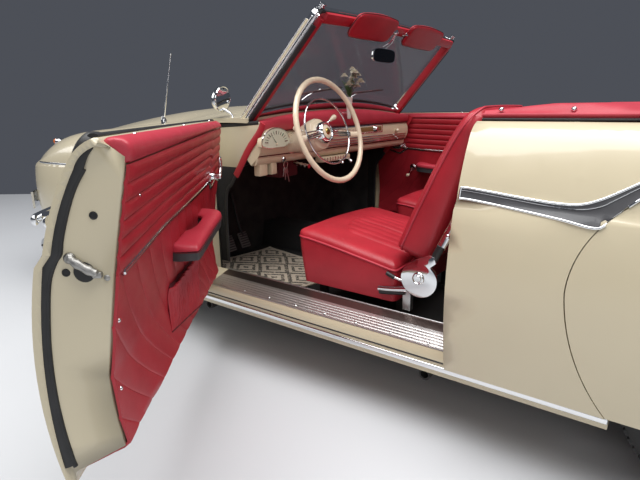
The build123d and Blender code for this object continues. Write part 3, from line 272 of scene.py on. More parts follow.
ivory = (0.61, 0.535, 0.375)
red = (0.41, 0.020, 0.032)
look = {
    "enamel": enamel("ivory_enamel", ivory, (0.585, 0.51, 0.355)),
    # the dash is the ivory body enamel with a pink tint mixed in, a painted reflection of the red leather
    "dashEnamelRedReflection": enamel("dash_enamel_painted_red_reflection", (0.66, 0.55, 0.38), (0.63, 0.52, 0.36), 0.28),
    "leather": leather("red_leather", red, (0.35, 0.016, 0.026)),
    # the same red leather made lighter for rails, rolls, armrest pads and piping; the lighter red is painted
    # highlight
    "highlitLeather": leather("red_leather_painted_highlight", (0.47, 0.036, 0.058), (0.42, 0.030, 0.048), 0.40, 430),
    "seam": plain("dark_red_seam", (0.10, 0.006, 0.010), (0.07, 0.004, 0.008), 0.7, 500, 0.001),
    "hood": leather("hood_cover_cloth", (0.46, 0.034, 0.056), (0.38, 0.026, 0.044), 0.5, 380),
    "chrome": metal("chrome", (0.86, 0.87, 0.88), 0.05),
    "steel": metal("satin_steel", (0.55, 0.55, 0.54), 0.32),
    "latchZinc": metal("aged_zinc", (0.42, 0.41, 0.39), 0.38, None, 0.2),
    "tread": metal("tread_aluminium", (0.62, 0.58, 0.56), 0.26, (1, 60, 60)),
    # a darker, browner copy of the tread aluminium, for the plate's inner strip
    "treadDark": metal("tread_dark_inner", (0.20, 0.155, 0.14), 0.22, (1, 60, 60)),
    "rubber": plain("black_rubber", (0.012, 0.012, 0.013), (0.02, 0.02, 0.021), 0.45, 260, 0.0008),
    "tyre": plain("tyre_rubber", (0.018, 0.018, 0.018), (0.03, 0.03, 0.029), 0.7, 350, 0.001),
    "under": plain("underseal", (0.012, 0.012, 0.012), (0.03, 0.028, 0.026), 0.75, 130, 0.002),
    "iron": plain("cast_iron", (0.10, 0.10, 0.10), (0.16, 0.15, 0.14), 0.6, 180, 0.001),
    "carpet": carpetPile("black_carpet"),
    "rug": rugWool("rug_wool"),
    "plastic": plain("ivory_plastic", (0.72, 0.60, 0.44), (0.68, 0.56, 0.41), 0.18, 60, 0.0002, 0.4),
    "white": plain("white_ceramic", (0.80, 0.77, 0.70), (0.74, 0.71, 0.64), 0.15, 60, 0.0002, 0.3),
    "black": plain("black_plastic", (0.012, 0.012, 0.013), (0.018, 0.018, 0.018), 0.35, 300, 0.0003),
    "grey": plain("dark_grey_vinyl", (0.035, 0.038, 0.04), (0.05, 0.052, 0.055), 0.45, 420, 0.0006),
    "glass": glassLike("screen_glass", (0.20, 0.21, 0.22), 0.02, 0.22),
    "clearLens": glassLike("clear_lens", (0.80, 0.82, 0.80), 0.08, 0.75),
    "amber": glassLike("amber_lens", (0.75, 0.16, 0.01), 0.12, 0.95),
    "redLens": glassLike("red_lens", (0.45, 0.01, 0.01), 0.10, 0.95),
    "mirror": metal("mirror_face", (0.88, 0.89, 0.90), 0.01),
    "darkMirror": metal("dark_mirror_back", (0.03, 0.035, 0.045), 0.22),
    "bandGrey": plain("band_grey", (0.055, 0.055, 0.06), (0.075, 0.075, 0.08), 0.4, 300, 0.0004, 0.2),
    "petal": plain("petals", (0.88, 0.84, 0.74), (0.74, 0.66, 0.55), 0.6, 200, 0.001),
    "leaf": plain("leaves", (0.05, 0.11, 0.03), (0.09, 0.16, 0.06), 0.6, 160, 0.001),
    "brass": metal("old_brass", (0.52, 0.36, 0.12), 0.3),
    "brassDark": plain("radio_glass", (0.16, 0.10, 0.035), (0.24, 0.16, 0.06), 0.15, 60, 0.0002, 0.6),
    "dialFace": plain("dial_face", (0.62, 0.62, 0.48), (0.56, 0.57, 0.44), 0.3, 60, 0.0002, 0.6),
    "leafDark": plain("dial_green", (0.03, 0.09, 0.05), (0.04, 0.11, 0.06), 0.4, 60, 0.0002),
}
print("materials made")


# mesh helpers
def linkMesh(name, mesh):
    made = bpy.data.objects.new(name, mesh)
    scene.collection.objects.link(made)
    return made


def fromData(name, points, faces):
    mesh = bpy.data.meshes.new(name)
    mesh.from_pydata([tuple(p) for p in points], [], faces)
    mesh.validate()
    return linkMesh(name, mesh)


def edited(piece, change):
    work = bmesh.new()
    work.from_mesh(piece.data)
    change(work)
    work.to_mesh(piece.data)
    work.free()
    return piece


def fromWork(name, work):
    mesh = bpy.data.meshes.new(name)
    work.to_mesh(mesh)
    work.free()
    return linkMesh(name, mesh)


def tidyNormals(piece, weld=0.00001):
    def change(work):
        bmesh.ops.remove_doubles(work, verts=work.verts, dist=weld)
        bmesh.ops.recalc_face_normals(work, faces=work.faces)

    return edited(piece, change)


# an open sheet gets its thickness on the side away from where it looks
def thickened(piece, thickness, looks):
    def change(work):
        bmesh.ops.recalc_face_normals(work, faces=work.faces)
        if sum(face.normal.dot(Vector(looks)) for face in work.faces) < 0:
            bmesh.ops.reverse_faces(work, faces=work.faces)
        bmesh.ops.solidify(work, geom=list(work.faces), thickness=thickness)

    return edited(piece, change)


def smoothShade(piece, angle=35):
    piece.data.shade_smooth()
    piece.data.set_sharp_from_angle(angle=math.radians(angle))
    return piece


def bake(piece):
    bpy.context.view_layer.update()
    graph = bpy.context.evaluated_depsgraph_get()
    mesh = bpy.data.meshes.new_from_object(piece.evaluated_get(graph))
    mesh.transform(piece.matrix_world)
    mesh.name = piece.name
    piece.modifiers.clear()
    piece.data = mesh
    piece.matrix_world = Matrix.Identity(4)
    return piece


def subdivided(piece, levels):
    level = piece.modifiers.new("smooth", "SUBSURF")
    level.levels = level.render_levels = levels
    return bake(piece)


def join(name, pieces):
    work = bmesh.new()
    materials = []
    for piece in pieces:
        offset = len(work.faces)
        work.from_mesh(piece.data)
        work.faces.ensure_lookup_table()
        for face in work.faces[offset:]:
            material = piece.data.materials[face.material_index] if piece.data.materials else None
            if material not in materials:
                materials.append(material)
            face.material_index = materials.index(material)
        bpy.data.objects.remove(piece)
    mesh = bpy.data.meshes.new(name)
    work.to_mesh(mesh)
    work.free()
    for material in materials:
        mesh.materials.append(material)
    return linkMesh(name, mesh)


def painted(piece, material):
    piece.data.materials.clear()
    piece.data.materials.append(look[material])
    return piece


# painted parts that are joined to one piece
class Parts(list):
    def add(self, material, shape, *values):
        self.append(painted(shape(*values), material))


# one piece of the visible model from its parts, and the body it rides on
def dress(name, parts, angle=40, body=carBody, matrix=None):
    whole = join(name, parts)
    if matrix is not None:
        turned(whole, matrix)
    smoothShade(whole, angle)
    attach(whole, body)
    return whole


def gridPiece(name, rows, closedAcross=False, closedAlong=False):
    count, width = len(rows), len(rows[0])
    points = [p for row in rows for p in row]
    faces = []
    for i in range(count if closedAlong else count - 1):
        for j in range(width if closedAcross else width - 1):
            a, b = i * width + j, i * width + (j + 1) % width
            c, d = ((i + 1) % count) * width + (j + 1) % width, ((i + 1) % count) * width + j
            faces.append((a, b, c, d))
    return fromData(name, points, faces)


def loftPiece(name, rings):
    count, width = len(rings), len(rings[0])
    points = [p for ring in rings for p in ring]
    faces = []
    for i in range(count - 1):
        for j in range(width):
            faces.append((i * width + j, i * width + (j + 1) % width,
                          (i + 1) * width + (j + 1) % width, (i + 1) * width + j))
    for i in (0, count - 1):
        centre = len(points)
        points.append(sum(rings[i], Vector()) / width)
        for j in range(width):
            faces.append((centre, i * width + j, i * width + (j + 1) % width))
    return tidyNormals(fromData(name, points, faces))


def tube(name, path, radius, sides=12, closed=False, flatten=1.0, up=None):
    path = [Vector(p) for p in path]
    rings = []
    count = len(path)
    side = None
    for i, point in enumerate(path):
        after = path[(i + 1) % count] if closed or i < count - 1 else point
        before = path[i - 1] if closed or i > 0 else point
        along = (after - before).normalized()
        if side is None:
            guess = Vector(up) if up else (Vector((0, 0, 1)) if abs(along.z) < 0.9 else Vector(xAxis))
            side = along.cross(guess).normalized()
        side = (side - along * side.dot(along)).normalized()
        rise = side.cross(along)
        size = radius[i] if isinstance(radius, (list, tuple)) else radius
        rings.append([point + side * math.cos(2 * math.pi * j / sides) * size
                      + rise * math.sin(2 * math.pi * j / sides) * size * flatten for j in range(sides)])
    if closed:
        return tidyNormals(gridPiece(name, rings, True, True))
    return loftPiece(name, rings)


def flatTube(name, path, width, height, sides=10):
    return tube(name, path, [width / 2] * len(path), sides, False, height / width, yAxis)


def lathe(name, profile, origin, axis, sides=48):
    origin, axis = Vector(origin), Vector(axis).normalized()
    side = axis.cross(Vector((0, 0, 1)) if abs(axis.z) < 0.9 else Vector(xAxis)).normalized()
    rise = axis.cross(side)
    rings = []
    for r, h in profile:
        rings.append([origin + axis * h + (side * math.cos(2 * math.pi * j / sides)
                      + rise * math.sin(2 * math.pi * j / sides)) * max(r, 0.00002) for j in range(sides)])
    return loftPiece(name, rings)


def spline(points, steps=8):
    points = [Vector(p) for p in points]
    count = len(points)
    out = []
    for i in range(count - 1):
        p1, p2 = points[i], points[i + 1]
        p0 = points[i - 1] if i > 0 else p1 * 2 - p2
        p3 = points[i + 2] if i < count - 2 else p2 * 2 - p1
        for k in range(steps):
            t = k / steps
            out.append(0.5 * ((2 * p1) + (p2 - p0) * t + (2 * p0 - 5 * p1 + 4 * p2 - p3) * t * t
                              + (3 * p1 - p0 - 3 * p2 + p3) * t ** 3))
    out.append(points[-1].copy())
    return out


def block(name, low, high, bevel=0.002, segments=2):
    low, high = Vector(low), Vector(high)
    work = bmesh.new()
    bmesh.ops.create_cube(work, size=1)
    for vert in work.verts:
        vert.co = Vector([(low[i] + high[i]) / 2 + vert.co[i] * (high[i] - low[i]) for i in range(3)])
    bmesh.ops.bevel(work, geom=list(work.edges), offset=bevel, segments=segments, profile=0.5, affect="EDGES")
    return fromWork(name, work)


def turned(piece, matrix):
    piece.data.transform(matrix)
    if matrix.to_3x3().determinant() < 0:
        piece.data.flip_normals()
    return piece


# tops of the lid rests that stand above the closed lids: height they start at, and how far they go down
restTops = {"nose_panel": (0.870, 0.0754), "tail_panel": (0.900, 0.1360)}


def smoothCopy(node, material, angle=30):
    copy = linkMesh(node + "_skin", nodes[node].data.copy())
    above, drop = restTops.get(node, (math.inf, 0.0))

    def change(work):
        bmesh.ops.remove_doubles(work, verts=work.verts, dist=0.00002)
        for vert in work.verts:
            if vert.co.z > above:
                vert.co.z -= drop

    smoothShade(edited(copy, change), angle)
    weigh = copy.modifiers.new("weigh", "WEIGHTED_NORMAL")
    weigh.keep_sharp = True
    weigh.weight = 90
    painted(bake(copy), material)
    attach(copy, bodyOf[node])
    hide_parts(node)
    return copy


hingeX, hingeY = car["doorHinge"]
openLeft = (Matrix.Translation((hingeX, hingeY, 0)) @ Matrix.Rotation(-car["doorAngle"], 4, "Z")
            @ Matrix.Translation((-hingeX, -hingeY, 0)))
mirrorY = Matrix.Scale(-1, 4, yAxis)

# painted panels, smooth copies of the frame's own
for node in ("bonnet", "boot_lid", "cowl", "rear_deck", "front_fenders", "rear_quarters", "nose_panel",
             "tail_panel", "door_left_shell", "door_right_shell", "wheel_spats", "rocker_sills"):
    smoothCopy(node, "enamel")
carried = {
    "bulkheads": "under", "dashboard": "dashEnamelRedReflection", "engine_block": "iron", "exhaust_and_tank": "under",
    "floor_pan": "carpet", "front_suspension": "under", "knuckle_left": "iron", "knuckle_right": "iron",
    "lift_points": "under", "rear_axle": "under", "bumpers": "chrome", "grille": "chrome",
    "windscreen_frame": "chrome", "windscreen_glass": "glass",
}
for node, material in carried.items():
    smoothCopy(node, material)
print("panels carried over")


# what lies on the body side is set on the panel itself, found by a ray from the car's right
def treeOf(names):
    points, faces = [], []
    for name in names:
        mesh = nodes[name].data
        offset = len(points)
        points += [nodes[name].matrix_world @ v.co for v in mesh.vertices]
        faces += [[i + offset for i in p.vertices] for p in mesh.polygons]
    return BVHTree.FromPolygons(points, faces)


sideTree = treeOf(("rear_quarters", "front_fenders", "door_right_shell", "wheel_spats"))
floorTree = treeOf(("floor_pan", "bulkheads"))


def sideY(x, z):
    hit = sideTree.ray_cast(Vector((x, -1.4, z)), Vector(yAxis))[0]
    return -hit.y if hit is not None and hit.y < -0.5 else 0.8


# doors: worked out closed and on the left, then swung open or mirrored to the right
card = {
    "rear": -0.541, "front": 0.560, "flutes": 6, "fluteDepth": 0.0055,
    "pleatPitch": 0.086, "pleatDepth": 0.0017, "thickness": 0.006,
}
cardSections = [  # x; ledge y; top y, z; middle y, z; waist y; foot y; lip y
    (-0.560, 0.690, 0.645, 0.925, 0.692, 0.700, 0.724, 0.709, 0.826),
    (0.600, 0.670, 0.650, 0.948, 0.680, 0.705, 0.712, 0.697, 0.808),
]


def arcY(a, b, c, z):
    (y1, z1), (y2, z2), (y3, z3) = a, b, c
    d = 2 * (y1 * (z2 - z3) + y2 * (z3 - z1) + y3 * (z1 - z2))
    if abs(d) < 1e-9:
        return y1 + (y3 - y1) * (z - z1) / (z3 - z1)
    s1, s2, s3 = y1 * y1 + z1 * z1, y2 * y2 + z2 * z2, y3 * y3 + z3 * z3
    cy = (s1 * (z2 - z3) + s2 * (z3 - z1) + s3 * (z1 - z2)) / d
    cz = (s1 * (y3 - y2) + s2 * (y1 - y3) + s3 * (y2 - y1)) / d
    reach = math.sqrt(max((y1 - cy) ** 2 + (z1 - cz) ** 2 - (z - cz) ** 2, 0))
    return cy + reach * (1 if y2 > cy else -1)


def cardY(x, z):
    found = []
    for _, _, topY, topZ, midY, midZ, waistY, footY, lipY in cardSections:
        if z >= topZ:
            found.append(topY)
        elif z >= 0.5:
            found.append(arcY((topY, topZ), (midY, midZ), (waistY, 0.5), z))
        elif z >= 0.34:
            found.append(arcY((waistY, 0.5), (waistY - 0.003, 0.42), (footY, 0.34), z))
        else:
            found.append(footY + (lipY - footY) * min((0.34 - z) / 0.059, 1))
    share = (x + 0.56) / 1.16
    return found[0] + (found[1] - found[0]) * share


def alongTable(table, x):
    for (x0, z0), (x1, z1) in zip(table, table[1:]):
        if x <= x1:
            return z0 + (z1 - z0) * max(0.0, (x - x0) / (x1 - x0))
    return table[-1][1]


mouldingLine = mm((-541, 703), (-427, 712), (-238, 727), (18, 734), (250, 742), (352, 748), (402, 716),
                  (470, 736), (560, 744))


def railZ(x):
    return 0.908 + 0.018 * (x + 0.541) / 1.1


def pleatShift(drop):
    return 0.62 * drop + 0.65 * drop * drop


def doorCard():
    columns = [card["rear"] + (card["front"] - card["rear"]) * i / 110 for i in range(111)]
    rows = []
    for x in columns:
        low, high = alongTable(mouldingLine, x), railZ(x)
        row = []
        for k in range(card["flutes"] * 7 + 1):
            t = k / (card["flutes"] * 7)
            z = low + (high - low) * t
            local = (t * card["flutes"]) % 1.0
            puff = card["fluteDepth"] * arch(local) if k % 7 else 0.0
            end = min(1.0, (x - card["rear"]) / 0.012, (card["front"] - x) / 0.012)
            row.append(Vector((x, cardY(x, z) - puff * max(end, 0.2) - 0.0005, z)))
        rows.append(row)
    upper = gridPiece("flutes", rows)
    offsets = [0.0, 0.035, 0.09, 0.2, 0.35, 0.5, 0.65, 0.8, 0.91, 0.965]
    starts, k = [], -9
    while k * card["pleatPitch"] - 0.527 < card["front"]:
        starts += [(k * card["pleatPitch"] - 0.527 + card["pleatPitch"] * o, o) for o in offsets]
        k += 1
    depth = [i / 34 for i in range(35)]
    rows = []
    for start, local in starts:
        row, full = [], 0.46
        for _ in range(6):
            foot = min(max(start + pleatShift(full), card["rear"]), card["front"])
            full = alongTable(mouldingLine, foot) - 0.287 - 0.018 * (foot + 0.541)
        for share in depth:
            drop = share * full
            x = start + pleatShift(drop)
            z = alongTable(mouldingLine, min(max(x, card["rear"]), card["front"])) - drop
            curl = min(local, 1 - local)
            puff = card["pleatDepth"] * (min(1.0, curl / 0.3) ** 0.5 * 1.6 - 0.6)
            puff += 0.0007 * noise.noise(Vector((x * 14, z * 14, 3.1)))
            puff *= max(0.0, min(1.0, (z - 0.287) / 0.04))
            row.append(Vector((x, cardY(x, z) - puff - 0.0008, z)))
        rows.append(row)
    lower = gridPiece("pleats", rows)

    def trim(work):
        for place, outward in ((card["rear"], -1), (card["front"], 1)):
            bmesh.ops.bisect_plane(work, geom=list(work.verts) + list(work.edges) + list(work.faces),
                                   plane_co=(place, 0, 0), plane_no=(outward, 0, 0), clear_outer=True)
        bmesh.ops.remove_doubles(work, verts=work.verts, dist=0.0004)

    return [painted(thickened(piece, card["thickness"], (0, -1, 0)), "leather")
            for piece in (upper, edited(lower, trim))]


def doorRail():
    rings = []
    for i in range(45):
        t = i / 44
        x = card["rear"] - 0.002 + (card["front"] - card["rear"] + 0.002) * t
        ledge = 0.690 - 0.020 * t + 0.002
        inner = 0.640 + 0.005 * t
        top, foot = 0.9545 - 0.004 * t, railZ(x)
        swell = 1 - 0.35 * (abs(2 * t - 1) ** 14)
        section = [(ledge, top - 0.002), (ledge - 0.012, top + 0.0015 * swell), (inner + 0.022, top + 0.001),
                   (inner + 0.009, top - 0.004), (inner + 0.001, top - 0.014), (inner, top - 0.025),
                   (inner + 0.003, foot + 0.008), (inner + 0.010, foot), (inner + 0.020, foot - 0.001),
                   (inner + 0.026, foot + 0.010), (inner + 0.030, top - 0.02), (ledge, top - 0.012)]
        rings.append([Vector((x, y, z)) for y, z in section])
    # the rail takes the lighter red leather, a painted highlight on its top
    return painted(subdivided(loftPiece("rail", rings), 2), "highlitLeather")


def doorMoulding():
    path, shade = [], []
    for i in range(90):
        x = -0.520 + 1.074 * i / 89
        z = alongTable(mouldingLine, x)
        path.append((x, cardY(x, z) - 0.0045, z))
        shade.append((x, cardY(x, z - 0.006) - 0.0025, z - 0.006))
    made = Parts()
    made.add("chrome", flatTube, "moulding", path, 0.0085, 0.006)
    made.add("black", flatTube, "mouldingShade", shade, 0.006, 0.004)
    x, z = -0.522, alongTable(mouldingLine, -0.522)
    made.add("chrome", lathe, "mouldingEnd", mm((0, 4), (4, 3.5), (6.2, 1), (6.2, -2)),
             (x, cardY(x, z) - 0.005, z), (0, -1, 0), 20)
    return made


def cardFasteners():
    made = Parts()
    for x, z in ((-0.459, 0.838), (-0.489, 0.733), (-0.527, 0.608), (-0.520, 0.457), (-0.40, 0.30),
                 (0.10, 0.30), (0.50, 0.31)):
        y = cardY(x, z)
        made.add("chrome", lathe, "fastener", mm((0, 3.5), (2.8, 3), (4.6, 0.8), (5.2, -1), (0, -3)),
                 (x, y - 0.0015, z), (0, -1, 0), 16)
    for t in (-0.42, 0.02, 0.44):
        made.add("chrome", lathe, "railStud", mm((0, 2.5), (3, 2), (4.5, 0), (0, -4)), (t, 0.672, 0.9548),
                 (0, 0, 1), 16)
    return made


pocket = {"rear": -0.150, "front": 0.195, "topRear": 0.530, "topFront": 0.520, "lowRear": 0.405,
          "lowFront": 0.345, "stand": 0.013}


def doorPocket():
    rows, count = [], 140
    for i in range(count + 1):
        u = i / count
        row = []
        high = pocket["topRear"] + (pocket["topFront"] - pocket["topRear"]) * u
        low = pocket["lowRear"] + (pocket["lowFront"] - pocket["lowRear"]) * u
        side = min(1.0, u / 0.05, (1 - u) / 0.05) ** 0.5
        for j in range(25):
            v = j / 24
            x = pocket["rear"] + (pocket["front"] - pocket["rear"]) * u + 0.03 * v * (1 - v) * (0.5 - u)
            z = high + (low - high) * v
            gather = (1 - v) ** 1.3
            wave = math.sin(u * 2 * math.pi * 19 + 2.6 * noise.noise(Vector((u * 6, v * 1.5, 7))))
            fold = 0.0058 * (1 - 2 * abs(wave) ** 0.6) * (0.22 + 0.78 * gather)
            fold += 0.004 * noise.noise(Vector((u * 16, v * 3, 2.0))) * (0.3 + gather)
            stand = pocket["stand"] * side * (1 - v ** 2.2) + 0.004 * side * math.sin(math.pi * v)
            band = 0.002 if v < 0.07 else 0.0
            z += 0.0035 * noise.noise(Vector((u * 30, 0, 5))) * gather
            row.append(Vector((x, cardY(x, z) - 0.004 - stand - fold * side - band, z)))
        rows.append(row)
    pouch = painted(thickened(gridPiece("pocket", rows), 0.0022, (0, -1, 0)), "leather")
    mouth = []
    for i in range(41):
        u = i / 40
        x = pocket["rear"] + 0.012 + (pocket["front"] - pocket["rear"] - 0.024) * u
        z = pocket["topRear"] + (pocket["topFront"] - pocket["topRear"]) * u - 0.004
        lip = mm((2, -4), (2, 10), (6, 4), (13, -4))
        mouth.append([Vector((x, cardY(x, z) - d, z + h)) for d, h in lip])
    hem = [(pocket["rear"] + (pocket["front"] - pocket["rear"]) * i / 30,
            pocket["lowRear"] + (pocket["lowFront"] - pocket["lowRear"]) * i / 30) for i in range(31)]
    seam = tube("pocketHem", [(x, cardY(x, z) - 0.0035, z) for x, z in hem], 0.0022, 8)
    return [pouch, painted(loftPiece("pocketMouth", mouth), "seam"), painted(seam, "seam")]


armrest = {"rear": -0.120, "base": 0.612, "rise": math.radians(3.2)}


def restPoint(along, y, up):
    c, s = math.cos(armrest["rise"]), math.sin(armrest["rise"])
    return Vector((armrest["rear"] + along * c - up * s, y, armrest["base"] + along * s + up * c))


def armrestPull():
    outer = spline(mm((6, 704, 0), (0, 680, 0), (0, 642, 0), (12, 628, 0), (100, 624.5, 0), (250, 620, 0),
                      (345, 616.5, 0), (385, 630, 0), (404, 664, 0), (408, 690, 0), (410, 712, 0)), 5)
    inner = spline(mm((20, 704, 0), (60, 700, 0), (150, 699, 0), (180, 683, 0), (215, 674, 0),
                      (265, 672, 0), (300, 674, 0), (325, 684, 0), (336, 700, 0), (350, 706, 0),
                      (372, 712, 0)), 5)
    # across the pad: 0 at the outer edge, 1 at the inner edge; height above the base
    top = [(0.0, 0.009), (-0.012, 0.014), (0.0, 0.022), (0.05, 0.0285), (0.16, 0.032), (0.35, 0.0345),
           (0.6, 0.034), (0.85, 0.031), (1.0, 0.027)]
    rows = []
    for a, b in zip(outer, inner):
        row = []
        for share, up in top:
            point = a + (b - a) * share
            row.append(restPoint(point.x, min(point.y, 0.75), up))
        row.append(restPoint(b.x, b.y, 0.008))
        rows.append(row)
    pad = subdivided(loftPiece("restPad", rows), 1)
    under = []
    for a, b in zip(outer, inner):
        section = ((a, 0.0095), (a + (b - a) * 0.05, -0.016), (b, -0.016), (b, 0.0095))
        under.append([restPoint(p.x, p.y, up) for p, up in section])
    base = loftPiece("restBase", under)
    welt = tube("restWelt", [restPoint(p.x, p.y - 0.0006, 0.0095) for p in outer], 0.0016, 8)
    # the pad takes the lighter red leather, a painted highlight on its top
    return [painted(pad, "highlitLeather"), painted(base, "grey"), painted(welt, "seam")]


lever = {"x": 0.378, "z": 0.762, "y": 0.6475}


def doorLever():
    x, y, z = lever["x"], lever["y"], lever["z"]
    seat = cardY(x, z)
    rose = lathe("leverRose", mm((0, 16), (10, 16), (12.5, 12), (14, 5), (20, 3), (21.5, -2), (0, -4)),
                 (x, seat - 0.002, z), (0, -1, 0), 32)
    hub = lathe("leverHub", mm((0, 0), (10, 0), (9.5, 20), (11, 30), (10, 35), (4, 38), (0, 38)),
                (x, seat - 0.006, z), (0, -1, 0), 28)
    path = spline([(x - 0.004, y + 0.004, z), (x + 0.020, y, z - 0.011), (x + 0.052, y - 0.001, z - 0.008),
                   (x + 0.077, y - 0.002, z + 0.012), (x + 0.087, y - 0.002, z + 0.038),
                   (x + 0.082, y, z + 0.062)], 8)
    shares = [i / len(path) for i in range(len(path))]
    sizes = [0.0108 - 0.0028 * math.sin(math.pi * share * 0.9) + 0.0012 * share for share in shares]
    sizes[0], sizes[-1] = 0.006, 0.005
    handle = tube("leverArm", path, sizes, 16, False, 0.72, yAxis)
    return [painted(p, "chrome") for p in (rose, hub, handle)]


def windowWinder(turn):
    x, z = 0.318, 0.634
    seat = cardY(x, z)
    c, s = math.cos(turn), math.sin(turn)
    rose = lathe("winderRose", mm((0, 14), (10, 13), (13, 6), (19, 3), (20, -2), (0, -4)),
                 (x, seat - 0.001, z), (0, -1, 0), 28)
    reach = mm((0, 14), (20, 18), (36, 20), (52, 22))
    path = spline([(x + r * c, seat - out, z + r * s) for r, out in reach], 6)
    arm = tube("winderArm", path, 0.0055, 12, False, 0.6, yAxis)
    knob = lathe("winderKnob", mm((0, 26), (6, 25), (9.5, 20), (9.5, 12), (7, 4), (5, 0), (0, 0)),
                 (x + 0.050 * c, seat - 0.024, z + 0.050 * s), (0, -1, 0), 24)
    return [painted(rose, "chrome"), painted(arm, "chrome"), painted(knob, "plastic")]


def doorEnd():
    made = Parts()
    face = -0.543
    insets = mm((905, 16), (880, 13), (850, 12), (810, 12.5), (776, 13), (752, 14), (735, 14), (700, 12),
                (640, 12), (560, 12), (470, 12), (390, 12), (320, 12), (300, 13))
    seal = [(sideY(-0.552, z) - inset, z) for z, inset in insets]
    turn = mm((-503, 705.5, 957.5), (-526, 709.5, 955.5), (-541, 716.5, 946), (-546.5, 727, 930))
    path = spline(turn + [(face - 0.0045, y, z) for y, z in seal], 5)
    sizes = [0.0130 - 0.005 * max(0.0, 1 - i / 6) + 0.0012 * math.exp(-((i - 11) / 5) ** 2)
             for i in range(len(path))]
    made.add("rubber", tube, "doorSeal", path, sizes, 14, False, 0.45, (0.6, -0.5, 0.6))
    lip = [p + Vector((0.0025, -0.0115, -0.003)) for p in path[20:]]
    made.add("rubber", tube, "doorSealLip", lip, 0.0050, 10)
    slot = [(x, 0.706 - 0.020 * (x + 0.545) / 1.13, 0.9545 - 0.004 * (x + 0.545) / 1.13 + 0.0025)
            for x in [-0.540 + 1.115 * i / 30 for i in range(31)]]
    made.add("rubber", tube, "windowSlot", slot, [0.0095] * 31, 10, False, 0.5, (0, 0, 1))
    # latch: plate, dark slot, bar and striker
    y, z = 0.747, 0.722
    made.add("black", lathe, "latchSlot", mm((0, 1.2), (19, 1), (20, -1), (0, -2)),
             (face - 0.0005, y + 0.004, z - 0.010), (-1, 0, 0), 28)
    bar = spline([(face - 0.004, y + 0.026, z + 0.018), (face - 0.0075, y + 0.012, z + 0.009),
                  (face - 0.0080, y - 0.006, z - 0.003), (face - 0.0070, y - 0.022, z - 0.012)], 6)
    sizes = [0.0092 - 0.0016 * math.sin(i * 0.5) ** 2 for i in range(len(bar))]
    sizes[0], sizes[-1] = 0.008, 0.006
    made.add("latchZinc", tube, "latchBar", bar, sizes, 14)
    made.add("latchZinc", lathe, "latchKnob", mm((0, 9), (7, 8), (10.5, 4), (11, -2), (0, -3)),
             (face - 0.001, y + 0.026, z + 0.018), (-1, 0, 0), 24)
    made.add("latchZinc", block, "latchTongue", (face - 0.010, y - 0.030, z - 0.020),
             (face + 0.001, y - 0.012, z - 0.008), 0.003)
    made.add("latchZinc", lathe, "latchScrew", mm((0, 3), (4, 2), (6, 0), (0, -2)),
             (face - 0.0005, y - 0.036, z - 0.022), (-1, 0, 0), 20)
    for hy, hz, r in ((0.721, 0.818, 0.0075), (0.784, 0.712, 0.0075)):
        made.add("rubber", lathe, "faceHole", [(0.0, 0.0004), (r * 0.7, 0.0004), (r * 0.8, 0.0016),
                                               (r, 0.0012), (r * 1.05, -0.001), (0.0, -0.002)],
                 (face - 0.0003, hy, hz), (-1, 0, 0), 24)
    return made


def outerHandle():
    grip = spline(mm((-492, 852, 800), (-470, 858, 801), (-400, 860, 802), (-335, 858, 801),
                     (-300, 848, 800)), 8)
    sizes = [0.0105 - 0.003 * i / len(grip) for i in range(len(grip))]
    sizes[0] = sizes[-1] = 0.004
    made = Parts([painted(tube("pullGrip", grip, sizes, 16, False, 0.7, yAxis), "chrome")])
    made.add("chrome", lathe, "pullPost", mm((0, 30), (10, 29), (11, 15), (16, 4), (19, 0), (0, -4)),
             (-0.455, 0.824, 0.800), yAxis, 28)
    made.add("chrome", lathe, "keyLock", mm((0, 6), (8, 5), (11, 2), (12, -2), (0, -3)),
             (-0.505, 0.8225, 0.800), yAxis, 24)
    return made


for side, place in (("left", openLeft), ("right", mirrorY)):
    parts = doorCard() + [doorRail()] + doorPocket()
    whole = dress(f"door_{side}_card_dress", parts, 40, f"door_{side}", place)
    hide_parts(f"door_{side}_card")
    parts = doorMoulding() + cardFasteners() + doorLever() + windowWinder(math.radians(-72))
    parts += armrestPull() + outerHandle()
    dress(f"door_{side}_fittings_dress", parts, 40, f"door_{side}", place)
    dress(f"door_{side}_end_dress", doorEnd(), 40, f"door_{side}", place)
print("doors dressed")

# front seats and rear bench: crowned pads with sewn flutes and piping
seat = {
    "middle": 0.390, "cushionHalf": 0.277, "backHalf": 0.255, "backMiddle": 0.377,
    "fluteCount": 8, "fluteZone": 0.164, "fluteDepth": 0.0064, "piping": 0.0042,
}


def roundedPlan(x, y, halfX, halfY, corner, cornerBack=None):
    r = corner if x > 0 or cornerBack is None else cornerBack
    overX, overY = abs(x) - (halfX - r), abs(y) - (halfY - r)
    if overX > 0 and overY > 0:
        a, b = overX / r, overY / r
        x = math.copysign(halfX - r + r * a * math.sqrt(1 - b * b / 2), x)
        y = math.copysign(halfY - r + r * b * math.sqrt(1 - a * a / 2), y)
    return x, y


